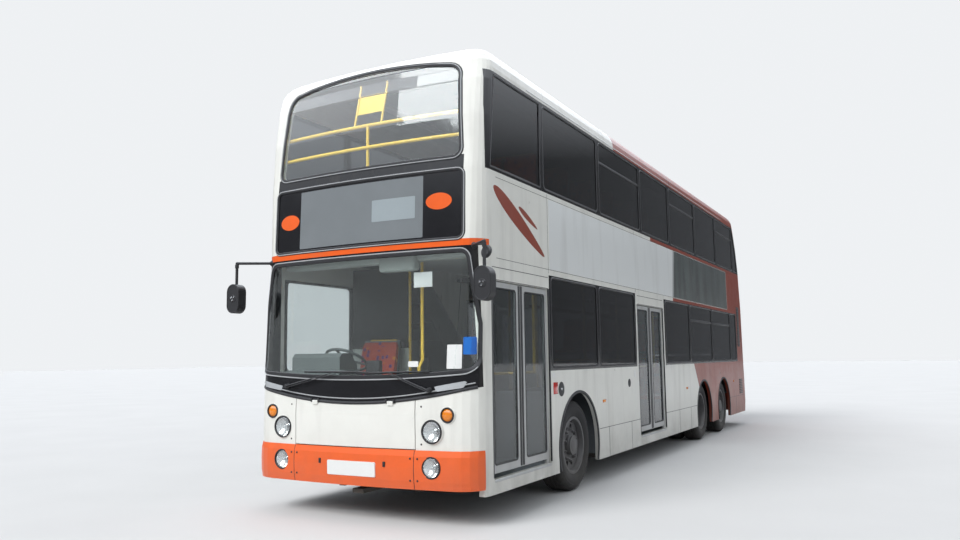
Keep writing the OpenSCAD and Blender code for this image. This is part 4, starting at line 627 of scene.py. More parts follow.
def build_materials(context):
    c = context.scene.bus_colours
    build_groups()
    painted_body("body paint", c.white, c.orange, c.coral, c.black, 0.9)
    worked("bumper paint", c.orange, 0.36, scale=12, variation=0.05, bump=0.04, grain=0.004, coat=0.12, grime=0.5)
    # tail paint is the darker orange, with painted shade in it
    worked("tail paint", c.coral, 0.36, scale=12, variation=0.06, bump=0.04, grain=0.004, coat=0.3, grime=0.9)
    worked("white paint", c.white, 0.32, scale=9, variation=0.035, bump=0.05, grain=0.004, coat=0.35, grime=0.9)
    worked("gloss black", c.black, 0.16, scale=30, variation=0.1, bump=0.03, grain=0.002, coat=0.4)
    worked("satin black", (0.02, 0.02, 0.022, 1), 0.5, scale=200, variation=0.15, bump=0.15, grain=0.0008)
    worked("chassis black", (0.02, 0.02, 0.02, 1), 0.62, scale=40, variation=0.25, bump=0.2, grain=0.003, grime=1.0)
    worked("engine casting", (0.12, 0.125, 0.13, 1), 0.6, 0.3, scale=50, variation=0.2, bump=0.3, grain=0.003, grime=1.0)
    worked("seal rubber", c.seal, 0.48, scale=90, variation=0.2, bump=0.1, grain=0.001)
    worked("seal bead", c.bead, 0.35, scale=50, variation=0.1, bump=0.05, grain=0.001, coat=0.2)
    worked("tyre rubber", c.tyre, 0.86, scale=140, variation=0.3, bump=0.3, grain=0.0015, grime=0.4)
    worked("rim paint", c.rim, 0.45, 0.25, scale=60, variation=0.2, bump=0.15, grain=0.0015, grime=0.9)
    worked("bright steel", (0.55, 0.55, 0.56, 1), 0.28, 1.0, scale=90, variation=0.1, bump=0.06, grain=0.001)
    worked("chrome", (0.78, 0.79, 0.8, 1), 0.08, 1.0, scale=20, variation=0.03)
    worked("mirror glass", (0.85, 0.86, 0.87, 1), 0.02, 1.0, scale=4, variation=0.02)
    worked("aluminium trim", (0.52, 0.53, 0.54, 1), 0.38, 0.7, scale=160, variation=0.06, bump=0.08, grain=0.0006, grime=0.6)
    worked("floor vinyl", c.floor, 0.6, scale=260, variation=0.5, bump=0.1, grain=0.001)
    worked("lining", c.lining, 0.55, scale=180, variation=0.05, bump=0.1, grain=0.0008)
    worked("grey moulding", (0.10, 0.115, 0.115, 1), 0.5, scale=220, variation=0.12, bump=0.2, grain=0.0008)
    worked("pale card", (0.28, 0.32, 0.34, 1), 0.4, scale=90, variation=0.05, bump=0.03, grain=0.001)
    worked("sign board", (0.155, 0.17, 0.18, 1), 0.5, scale=220, variation=0.08, bump=0.1, grain=0.0008)
    worked("seat shell", c.shell, 0.42, scale=150, variation=0.1, bump=0.1, grain=0.0008)
    worked("yellow coat", c.yellow, 0.3, scale=80, variation=0.06, bump=0.05, grain=0.001, coat=0.4)
    worked("amber lens", (0.75, 0.22, 0.01, 1), 0.12, scale=300, variation=0.2, bump=0.3, grain=0.001, coat=0.8)
    worked("red lens", (0.5, 0.02, 0.015, 1), 0.14, scale=300, variation=0.2, bump=0.3, grain=0.001, coat=0.8)
    worked("white plastic", (0.72, 0.73, 0.72, 1), 0.35, scale=70, variation=0.04, bump=0.04, grain=0.001)
    worked("blue plastic", (0.02, 0.16, 0.55, 1), 0.3, scale=70, variation=0.05)
    worked("lamp reflector", (0.72, 0.73, 0.74, 1), 0.16, 1.0, scale=26, variation=0.12, bump=0.5, grain=0.004)
    worked("lamp lens grey", (0.42, 0.44, 0.46, 1), 0.18, scale=160, variation=0.15, bump=0.4, grain=0.001, coat=0.6)
    door_frame("door frame", c.door, c.yellow)
    cloth("moquette", c.moquette, (0.62, 0.20, 0.02, 1), (0.10, 0.02, 0.16, 1))
    board_picture("side board", c.board, (0.018, 0.022, 0.022))
    glass("windscreen glass", (0.86, 0.91, 0.91), (0.90, 0.93, 0.93), ior=1.72)
    glass("window glass", (0.075, 0.078, 0.085), (0.30, 0.32, 0.33), ior=1.45, cab=(0.72, 0.76, 0.76))
    glass("door glass", (0.30, 0.33, 0.34), (0.45, 0.48, 0.48), ior=1.45)
    glass("clear lens", (0.93, 0.95, 0.95), (0.9, 0.9, 0.9), ior=1.45)
    glass("sign glass", (0.62, 0.64, 0.66), (0.4, 0.42, 0.42), ior=1.6)


def dress(node, name):
    """Gives a CAD node its finish in every material slot."""
    piece = NODES[node]
    if not piece.material_slots:
        piece.data.materials.append(MATERIALS[name])
    for s in piece.material_slots:
        s.material = MATERIALS[name]


# ---------------------------------------------------------------- operators
class BUS_OT_finishes(bpy.types.Operator):
    """Build the materials and give every CAD piece its finish"""
    bl_idname = "bus.finishes"
    bl_label = "Finishes"

    def execute(self, context):
        build_materials(context)
        finishes = {
            "chassis_frame": "chassis black", "axles": "chassis black", "knuckle_nearside": "chassis black", "knuckle_offside": "chassis black",
            "engine_block": "engine casting", "lower_floor": "floor vinyl", "upper_floor": "floor vinyl", "bumper_front": "bumper paint",
            "front_mask": "body paint", "front_flap": "white paint", "cowl": "gloss black", "front_upper_shell": "body paint",
            "destination_panel": "gloss black", "windscreens": "windscreen glass", "nearside_panel": "body paint",
            # the engine door's tail paint carries painted shade in its darker orange
            "offside_panel": "body paint", "roof": "body paint", "rear_panel": "body paint", "engine_door": "tail paint",
            "emergency_door": "body paint", "emergency_door_glass": "window glass", "windows": "window glass",
            "lamps": "clear lens", "mirrors": "satin black", "wipers": "satin black", "seats": "seat shell",
            "handrails": "yellow coat", "staircase": "grey moulding", "dashboard": "grey moulding",
        }
        for node in NODES:
            if node.startswith("tyre"):
                finishes[node] = "tyre rubber"
            elif node.startswith("rim"):
                finishes[node] = "rim paint"
            elif "door_leaf" in node:
                finishes[node] = "door frame"
            elif "door_glass" in node and node not in finishes:
                finishes[node] = "door glass"
        for node, name in finishes.items():
            dress(node, name)
        return {"FINISHED"}


def ring_on_front(form, loop, section, step=0.05):
    path = dense(loop, step)
    form.sweep([front_point(x, z) for x, z in path], [front_normal(x, z) for x, z in path], section)


def bead_section(half, height, n=6):
    """Half-round section that starts and ends in the surface."""
    return [(half * math.cos(math.pi * i / n), height * math.sin(math.pi * i / n) - 0.001) for i in range(n + 1)] + [(-half, -0.006), (half, -0.006)]


SIGN = (1.070, 1.070, 2.489, 3.101, 0.05, 0.05)


def arc(cx, cz, r, start, end, n=5):
    return [(cx + r * math.cos(math.radians(start + (end - start) * i / n)), cz + r * math.sin(math.radians(start + (end - start) * i / n)))
            for i in range(n + 1)]


def both_halves(right):
    return right + [(-x, z) for x, z in reversed(right)]


def screen_foot(x):
    return 1.283 + 0.054 * (x / 1.205) ** 2


def lower_screen(d):
    """Outline of the lower windscreen, grown by d along the surface."""
    w, t, r, q = 1.205 + 0.6 * d, 1.116 + 0.85 * d, 0.10 + d, 0.06 + d
    foot = w - r
    return both_halves([(foot * i / 12, screen_foot(foot * i / 12) - d) for i in range(1, 13)]
                       + arc(foot, screen_foot(foot) - d + r, r, -72, 0) + [(w, 1.73)] + arc(t - q, 2.357 + d - q, q, 10, 90))


def upper_screen(d):
    """Outline of the upper windscreen, grown by d along the surface."""
    w, r, q = 1.040 + 0.9 * d, 0.07 + d, 0.12 + d
    top = lambda x: 4.184 + d - 0.084 * (x / 0.95) ** 2
    cx = 1.0 + 0.9 * d - q
    reach = cx + q * math.cos(math.radians(80))
    return both_halves(arc(w - r, 3.233 - d + r, r, -90, 0) + arc(cx, top(reach) - q * math.sin(math.radians(80)), q, 0, 80)
                       + [(reach * i / 12, top(reach * i / 12)) for i in range(11, 0, -1)])


def sign_outline(d):
    w0, w1, z0, z1, r0, r1 = SIGN
    return trapeze(w0 + d, w1 + d, z0 - d, z1 + d, r0 + d, r1 + d)


def seal_section(half):
    return [(-half, 0.0), (-half + 0.004, 0.006), (0, 0.009), (half - 0.004, 0.006), (half, 0.0), (0, -0.005)]


class BUS_OT_front_seals(bpy.types.Operator):
    """Rubber seals with grey beads round the windscreens and the destination panel"""
    bl_idname = "bus.front_seals"
    bl_label = "Front seals"

    def execute(self, context):
        s = context.scene.bus_sizes
        seals, beads = Form(shift=False), Form(shift=False)
        for outline, middle, half, gap, r in ((upper_screen, 0.015, s.seal_width / 2, 0.022, 0.8), (sign_outline, 0.010, s.seal_width * 0.4, 0.016, 0.8),
                                              (lower_screen, 0.014, s.seal_width * 0.46, 0.034, 1.0)):
            ring_on_front(seals, outline(middle), seal_section(half))
            beads.tube([front_point(x, z, 0.007) for x, z in dense(outline(gap), 0.05)], s.bead_radius * r, 8, closed=True)
        seals.make("front_seals", [MATERIALS["seal rubber"]], slot="rubber")
        beads.make("front_seal_beads", [MATERIALS["seal bead"]], slot="trim_grey")
        return {"FINISHED"}


def cowl_edge(x):
    return 1.038 + 0.141 * (x / 1.205) ** 2


def patch_on_front(form, loop, out, thick=0.002, rings=6):
    """A thin sheet with the outline of a loop of (x, z), laid on the front's surface."""
    cx = sum(x for x, z in loop) / len(loop)
    cz = sum(z for x, z in loop) / len(loop)
    rows = [[front_point(cx + (x - cx) * k / rings, cz + (z - cz) * k / rings, out + thick) for x, z in loop] for k in [0.02] + list(range(1, rings + 1))]
    rows.append([front_point(x, z, out) for x, z in loop])
    form.grid(rows, caps=True)


class BUS_OT_cowl_trim(bpy.types.Operator):
    """Beads along the cowl, end lenses and the black lip above the flap"""
    bl_idname = "bus.cowl_trim"
    bl_label = "Cowl trim"

    def execute(self, context):
        form = Form(shift=False)
        xs = [-1.19 + 2.38 * i / 60 for i in range(61)]
        form.tube([front_point(x, cowl_edge(x) + 0.045, 0.004) for x in xs], 0.0055, 8)
        form.make("cowl_beads", [MATERIALS["seal bead"]], slot="trim_grey")
        form = Form(shift=False)
        for side in (-1, 1):
            outline = [(0.853, 1.188), (0.870, 1.194), (1.122, 1.237), (1.136, 1.228), (1.113, 1.184), (1.10, 1.179), (0.882, 1.149), (0.868, 1.153)]
            patch_on_front(form, [(side * x, z) for x, z in dense(outline, 0.03)], 0.003, 0.006, 5)
        form.make("cowl_lenses", [MATERIALS["lamp lens grey"]], slot="lens")
        form = Form(shift=False)
        xs = [-1.203 + 2.406 * i / 60 for i in range(61)]
        form.sweep([front_point(x, cowl_edge(x) + 0.006, 0.0) for x in xs], [front_normal(x, 1.1) for x in xs],
                   [(-0.014, -0.002), (-0.012, 0.007), (0.0, 0.011), (0.012, 0.007), (0.014, -0.002)], closed=False)
        form.make("cowl_lip", [MATERIALS["seal rubber"]], slot="rubber")
        return {"FINISHED"}


FRONT_LAMPS = ((0.830, 0.809, 0.092, 0.056), (0.977, 0.951, 0.056, 0.074), (0.825, 0.508, 0.084, 0.050))


class BUS_OT_lamps(bpy.types.Operator):
    """Head, turn, fog and tail lamps with reflectors, lenses and bezels"""
    bl_idname = "bus.lamps"
    bl_label = "Lamps"

    def execute(self, context):
        bowls, lenses, amber, bezels, red = Form(), Form(), Form(), Form(), Form()
        made = []
        for x, z, r, y in FRONT_LAMPS:
            for side in (-1, 1):
                centre = (side * x, y, z)
                if r < 0.06:
                    amber.lathe([(0.0, -0.016), (r * 0.5, -0.013), (r * 0.9, -0.002), (r, 0.008), (r, 0.06), (0, 0.06)], centre, (0, 1, 0), 32)
                else:
                    bowls.lathe([(0.0, 0.045), (r * 0.28, 0.042), (r * 0.62, 0.028), (r * 0.9, 0.008), (r * 0.98, 0.0), (r, 0.0), (r, 0.062), (0, 0.062)], centre, (0, 1, 0), 40)
                    bowls.lathe([(0.0, 0.012), (r * 0.16, 0.016), (r * 0.2, 0.044)], centre, (0, 1, 0), 20)
                    lenses.lathe([(0.0, -0.013), (r * 0.4, -0.011), (r * 0.8, -0.005), (r * 0.97, 0.002), (r * 0.97, 0.005), (r * 0.8, -0.001), (r * 0.4, -0.007), (0.0, -0.009)], centre, (0, 1, 0), 40)
                bezels.lathe([(r - 0.004, -0.003), (r, -0.009), (r + 0.008, -0.009), (r + 0.012, 0.0), (r + 0.012, 0.03), (r - 0.004, 0.03)], centre, (0, 1, 0), 40, closed=True)
        for x, z, r in ((1.09, 0.86, 0.055), (1.09, 1.0, 0.055), (1.09, 1.14, 0.055), (1.09, 0.72, 0.045)):
            for side in (-1, 1):
                centre = (side * x, 12.0 - station(z, 3) - 0.014, z)
                target = amber if abs(z - 1.14) < 0.01 else (bowls if abs(z - 0.72) < 0.01 else red)
                target.lathe([(0.0, 0.014), (r * 0.5, 0.012), (r * 0.9, 0.004), (r, -0.004), (r, -0.05), (0, -0.05)], centre, (0, 1, 0), 28)
                bezels.lathe([(r - 0.002, 0.004), (r + 0.003, 0.010), (r + 0.01, 0.012), (r + 0.014, 0.002), (r - 0.002, -0.02)], centre, (0, 1, 0), 28, closed=True)
        bowls.make("lamp_reflectors", [MATERIALS["lamp reflector"]], slot="lens", replaces=("lamps",))
        lenses.make("lamp_lenses", [MATERIALS["clear lens"]], slot="lens")
        amber.make("turn_lamps", [MATERIALS["amber lens"]], slot="lens")
        red.make("tail_lamps", [MATERIALS["red lens"]], slot="lens")
        bezels.make("lamp_bezels", [MATERIALS["satin black"]], slot="plastic_black")
        return {"FINISHED"}


class BUS_OT_bumper_detail(bpy.types.Operator):
    """Blank plate, seams, bolts and small blocks on the bumper"""
    bl_idname = "bus.bumper_detail"
    bl_label = "Bumper detail"

    def execute(self, context):
        def face(x, z, out=0.0):
            rows = ((0.320, 0.020), (0.390, 0.006), (0.500, 0.0), (0.600, 0.004), (0.650, 0.020))
            return Vector((x, between_rows(rows, z, 1) + BOW * (x / HALF_W) ** 2 - out, z))
        form = Form()
        loop = rounded(-0.25, 0.405, 0.28, 0.535, 0.012)
        form.plate([face(x, z, 0.004) for x, z in loop], [face(x, z, 0.009) for x, z in rounded(-0.247, 0.408, 0.277, 0.532, 0.010)], (0, 0.012, 0))
        form.make("front_plate", [MATERIALS["white plastic"]], slot="plastic_white")
        form = Form()
        for x in (-0.664, 0.664):
            form.tube([face(x, 0.323 + 0.324 * i / 12, -0.0015) for i in range(13)], 0.0035, 6)
            for dx in (-0.035, 0.035):
                for z in (0.395, 0.58):
                    p = face(x + dx, z, 0.002)
                    form.lathe([(0.0, -0.004), (0.006, -0.004), (0.009, 0.0), (0.009, 0.008)], p, (0, 1, 0), 10)
        for x in (-0.725, 0.725):
            for z in (0.70, 1.02):
                p = front_point(x, z, 0.001) + Vector((0, MID, 0))
                form.lathe([(0.0, -0.003), (0.006, -0.003), (0.009, 0.001), (0.009, 0.006)], p, (0, 1, 0), 10)
        for x in (-0.34, 0.37):
            form.slab((x - 0.012, 0.0, 0.50), (x + 0.012, 0.022, 0.545), 0.004)
        form.make("bumper_bolts", [MATERIALS["satin black"]], slot="plastic_black")
        return {"FINISHED"}


class BUS_OT_wipers(bpy.types.Operator):
    """Wiper arms and blades, parked along the foot of the windscreen"""
    bl_idname = "bus.wipers"
    bl_label = "Wipers"

    def execute(self, context):
        form = Form(shift=False)
        for px, pz, tx, tz, low, high in ((-0.776, 1.19, -0.17, 1.322, -0.56, 0.20), (0.814, 1.163, 0.415, 1.315, 0.06, 0.80)):
            pivot = front_point(px, pz, 0.045)
            tip = front_point(tx, tz, 0.030)
            form.lathe([(0.0, -0.012), (0.016, -0.010), (0.02, 0.0), (0.024, 0.03), (0.017, 0.034), (0.017, 0.06)], pivot, (0, 1, 0), 20)
            for drop, thick in ((0.0, 1.0), (0.016, 0.7)):
                off = Vector((0, -0.002, -drop))
                form.tube([pivot + off, pivot.lerp(tip, 0.3) + off + Vector((0, -0.012, 0)), pivot.lerp(tip, 0.7) + off + Vector((0, -0.008, 0)), tip + off],
                          [0.012 * thick, 0.010 * thick, 0.008 * thick, 0.006 * thick], 8, flat=0.6)
            xs = [low + (high - low) * i / 20 for i in range(21)]
            slope = (screen_foot(high) - screen_foot(low)) / (high - low)
            line = [tz + slope * (x - tx) * 0.6 for x in xs]
            form.tube([front_point(x, z, 0.024) for x, z in zip(xs, line)], [0.005 + 0.004 * (1 - abs(2 * i / 20 - 1)) for i in range(21)], 8)
            form.sweep([front_point(x, z - 0.008, 0.006) for x, z in zip(xs, line)], [front_normal(x, z) for x, z in zip(xs, line)],
                       [(-0.0035, 0.014), (0.0035, 0.014), (0.002, 0.0), (-0.002, 0.0)], closed=False)
        form.make("wiper_arms", [MATERIALS["satin black"]], slot="rubber", replaces=("wipers",))
        return {"FINISHED"}


class BUS_OT_mirrors(bpy.types.Operator):
    """Mirror glasses, clamps, feet, and the small second mirror by the front door"""
    bl_idname = "bus.mirrors"
    bl_label = "Mirrors"

    def execute(self, context):
        form, chrome, black = Form(), Form(), Form()
        for side in (-1, 1):
            loop = [(side * 1.40 + x, 0.0405, z) for x, z in rounded(-0.068, 1.915, 0.068, 2.175, 0.066, 8)]
            inner = [(side * 1.40 + x, 0.0425, z) for x, z in rounded(-0.062, 1.921, 0.062, 2.169, 0.060, 8)]
            form.plate(loop, inner, (0, -0.004, 0))
            for dx, dz in ((-0.017, 0.012), (0.017, 0.012), (0.0, -0.016)):
                chrome.lathe([(0, -0.014), (0.008, -0.013), (0.011, -0.006), (0.011, 0.004)], (side * 1.40 + dx, -0.060, 2.045 + dz), (0, 1, 0), 12)
            black.lathe([(0.0, -0.006), (0.034, -0.005), (0.038, 0.0), (0.038, 0.006)], (side * 1.40, -0.060, 2.045), (0, 1, 0), 24)
            rim = rounded(-0.074, 1.906, 0.074, 2.184, 0.072, 8)
            black.tube([(side * 1.40 + x, -0.058, z) for x, z in rim], 0.006, 8, closed=True)
            foot = front_point(side * 1.165, 2.408, 0.0) + Vector((0, MID, 0))
            outward = front_normal(side * 1.165, 2.408)
            black.lathe([(0.0, 0.026), (0.018, 0.022), (0.022, 0.008), (0.030, 0.004), (0.030, -0.004)], foot, outward, 20)
            black.lathe([(0.0, -0.022), (0.019, -0.020), (0.019, 0.016), (0, 0.018)], (side * 1.40, -0.010, 2.372), (0, 0, 1), 16)
        # second mirror over the door
        black.lathe([(0.0, -0.022), (0.045, -0.018), (0.060, 0.0), (0.055, 0.012), (0, 0.014)], (1.345, 0.13, 2.33), (0.3, 1, -0.25), 24)
        black.tube([(1.345, 0.12, 2.34), (1.30, 0.15, 2.40), (1.225, 0.20, 2.41)], 0.008, 8)
        form.lathe([(0.0, 0.0155), (0.052, 0.0135)], (1.345, 0.13, 2.33), (0.3, 1, -0.25), 24)
        form.make("mirror_glasses", [MATERIALS["mirror glass"]], slot="mirror_shell")
        chrome.make("mirror_bolts", [MATERIALS["chrome"]], slot="mirror_shell")
        black.make("mirror_fittings", [MATERIALS["satin black"]], slot="mirror_shell")
        return {"FINISHED"}


def wheel_centres():
    for side, sign in SIDES:
        yield "front", side, sign, FRONT_AXLE, (WHEEL_X,)
        yield "drive", side, sign, DRIVE_AXLE, (WHEEL_X, TWIN_X)
        yield "tag", side, sign, TAG_AXLE, (WHEEL_X,)


class BUS_OT_tyres(bpy.types.Operator):
    """Tyres with grooved tread, shoulder blocks and ribbed sidewalls"""
    bl_idname = "bus.tyres"
    bl_label = "Tyres"

    def execute(self, context):
        depth = context.scene.bus_sizes.tread_depth
        h = TYRE_W / 2
        half = [(0.290, -h + 0.034), (0.306, -h + 0.020), (0.325, -h + 0.011), (0.345, -h + 0.006), (0.352, -h + 0.003), (0.360, -h + 0.003),
                (0.368, -h), (0.395, -h + 0.0005), (0.410, -h + 0.004), (0.416, -h + 0.002), (0.424, -h + 0.006), (0.446, -h + 0.013)]
        tread = [(0.462, -h + 0.025), (0.472, -h + 0.034), (0.4785, -h + 0.050)]
        crown = [-0.072, -0.066, -0.060, -0.028, -0.022, -0.016]
        rows = []
        n = 120
        for k in range(n):
            notch = 1.0 if k % 3 == 0 else 0.0
            row = [(r, x) for r, x in half]
            row += [(r - depth * notch * 0.9, x) for r, x in tread]
            for i, x in enumerate(crown):
                r = TYRE_R if i % 3 != 1 else TYRE_R - depth
                wave = 0.0035 * math.sin(2 * math.pi * k / n * 20)
                row.append((r, x + wave))
            mirrored = [(r, -x) for r, x in reversed(row)]
            rows.append(row + mirrored)
        for place, side, sign, y, xs in wheel_centres():
            form = Form()
            for x in xs:
                ring = []
                for k, row in enumerate(rows):
                    a = 2 * math.pi * k / n
                    ring.append([(sign * x + u, y + r * math.cos(a), AXLE_Z + r * math.sin(a)) for r, u in row])
                form.grid(ring, around=True, along=True)
            form.make(f"tyre_tread_{place}_{side}", [MATERIALS["tyre rubber"]], body=f"wheel_{place}_{side}", slot="tyre", angle=28, replaces=(f"tyre_{place}_{side}",))
        return {"FINISHED"}


class BUS_OT_wheel_detail(bpy.types.Operator):
    """Wheel nuts, hub caps, hub covers and valves"""
    bl_idname = "bus.wheel_detail"
    bl_label = "Wheel detail"

    def execute(self, context):
        count = context.scene.bus_sizes.nut_count
        for place, side, sign, y, xs in wheel_centres():
            form = Form()
            outward = (sign, 0, 0)
            base = WHEEL_X + 0.062 if place != "drive" else (WHEEL_X + TWIN_X) / 2 + 0.005
            ring = 0.1675 if place != "drive" else 0.1675
            for i in range(count):
                a = 2 * math.pi * (i + 0.5) / count
                c = (sign * base, y + ring * math.cos(a), AXLE_Z + ring * math.sin(a))
                form.lathe([(0.022, 0.0), (0.021, 0.006), (0.0165, 0.007), (0.0165, 0.022), (0.013, 0.026), (0.010, 0.026), (0.010, 0.038), (0.0, 0.040)], c, outward, 6 if place != "x" else 6)
            if place == "drive":
                top = (WHEEL_X + TWIN_X) / 2 + 0.18
                form.lathe([(0.104, -0.07), (0.108, -0.02), (0.100, 0.0), (0.086, 0.006), (0.030, 0.012), (0.0, 0.012)], (sign * top, y, AXLE_Z), outward, 40)
                for i in range(8):
                    a = 2 * math.pi * i / 8
                    form.lathe([(0.010, 0.0), (0.010, 0.014), (0.0, 0.016)], (sign * (top + 0.001), y + 0.085 * math.cos(a), AXLE_Z + 0.085 * math.sin(a)), outward, 6)
            else:
                top = WHEEL_X + 0.118
                form.lathe([(0.106, -0.05), (0.109, -0.012), (0.100, 0.0), (0.072, 0.006), (0.066, 0.014), (0.058, 0.016), (0.0, 0.016)], (sign * (top - 0.012), y, AXLE_Z), outward, 40)
                for i in range(6):
                    a = 2 * math.pi * i / 6
                    form.lathe([(0.007, 0.0), (0.007, 0.008), (0.0, 0.009)], (sign * (top - 0.008), y + 0.088 * math.cos(a), AXLE_Z + 0.088 * math.sin(a)), outward, 6)
            form.tube([(sign * (base - 0.005), y + 0.02, AXLE_Z + 0.245), (sign * (base + 0.03), y + 0.02, AXLE_Z + 0.25), (sign * (base + 0.045), y + 0.02, AXLE_Z + 0.245)], 0.005, 8)
            form.make(f"wheel_fittings_{place}_{side}", [MATERIALS["rim paint"]], body=f"wheel_{place}_{side}", slot="rim")
        return {"FINISHED"}


LOWER_NEAR = ((1.665, 3.080), (3.080, 4.495), (5.905, 7.390), (7.390, 9.000), (9.000, 10.600), (10.600, 11.190))
LOWER_OFF = ((0.480, 1.640), (4.300, 5.200), (6.130, 7.390), (7.390, 9.000), (9.000, 10.600), (10.600, 11.190))
UPPER = ((1.530, 3.190), (3.190, 4.850), (4.850, 6.320), (6.320, 7.950), (7.950, 9.560), (9.560, 11.120))


class BUS_OT_window_seals(bpy.types.Operator):
    """Seals round the side windows, hopper vents and the edges of the glazing bands"""
    bl_idname = "bus.window_seals"
    bl_label = "Window seals"

    def execute(self, context):
        width = context.scene.bus_sizes.window_seal
        for side, sign in SIDES:
            form = Form()
            bays = [(a, b, 1.320, 2.245) for a, b in (LOWER_NEAR if sign > 0 else LOWER_OFF)] + [(a, b, 3.140, 4.020) for a, b in UPPER]
            for a, b, z0, z1 in bays:
                loop = dense(rounded(a + 0.035, z0, b - 0.035, z1, 0.06), 0.4)
                path = [(sign * HALF_W, y, z) for y, z in loop]
                form.sweep(path, [Vector((sign, 0, 0))] * len(path), [(-width, -0.004), (-width, 0.002), (0.0, 0.004), (width * 0.35, -0.001), (width * 0.35, -0.006)])
            first = [(0.397, 3.14), (1.495, 3.14), (1.495, 4.02), (0.488, 4.02)]
            last = [(11.155, 3.14), (11.55, 3.14), (11.47, 3.5), (11.20, 4.02), (11.155, 4.02)]
            for loop in (first, last):
                path = [(sign * HALF_W, y, z) for y, z in dense(loop, 0.4)]
                form.sweep(path, [Vector((sign, 0, 0))] * len(path), [(-width, -0.004), (-width, 0.002), (0.0, 0.004), (width * 0.35, -0.001), (width * 0.35, -0.006)])
            # opening vents at the top of some lower windows
            for a, b in ((7.390, 9.000), (9.000, 10.600)) if sign > 0 else ((6.130, 7.390), (7.390, 9.000), (9.000, 10.600)):
                form.slab((sign * 1.243 - 0.006, a + 0.04, 1.985), (sign * 1.243 + 0.006, b - 0.04, 2.020), 0.003)
            for a, b in ((3.190, 4.850), (6.320, 7.950), (9.560, 11.120)):
                form.slab((sign * 1.243 - 0.006, a + 0.04, 3.760), (sign * 1.243 + 0.006, b - 0.04, 3.790), 0.003)
            form.make(f"window_seals_{side}", [MATERIALS["seal rubber"]], slot="rubber")
        return {"FINISHED"}


class BUS_OT_side_boards(bpy.types.Operator):
    """Long side boards between the decks, bare in front and plain dark behind, and the orange slash by the door"""
    bl_idname = "bus.side_boards"
    bl_label = "Side boards"

    def execute(self, context):
        for side, sign in SIDES:
            form = Form()
            loop = rounded(1.680, 2.325, 10.400, 3.052, 0.01, 2)
            inner = rounded(1.684, 2.329, 10.396, 3.048, 0.008, 2)
            form.plate([(sign * 1.2518, y, z) for y, z in loop], [(sign * 1.2528, y, z) for y, z in inner], (-sign * 0.003, 0, 0))
            form.make(f"side_board_{side}", [MATERIALS["side board"]], slot="body_white")
            # the slash uses tail paint, whose darker orange holds painted shade
            slash = Form()
            for start, end, width in (((0.46, 2.97), (1.56, 2.44), 0.075), ((0.98, 2.86), (1.40, 2.70), 0.028)):
                a, b = Vector(start), Vector(end)
                across = Vector((a.y - b.y, b.x - a.x)).normalized() * width
                turns = [math.radians(10 * k) for k in range(36)]
                pts = [(a + b) / 2 + (b - a) / 2 * math.cos(t) + across * math.sin(t) * (1 - 0.35 * math.cos(t)) for t in turns]
                slash.plate([(sign * 1.2510, p.x, p.y) for p in pts], [(sign * 1.2516, p.x, p.y) for p in pts], (-sign * 0.003, 0, 0))
            slash.make(f"side_slash_{side}", [MATERIALS["tail paint"]], slot="body_orange")
        return {"FINISHED"}


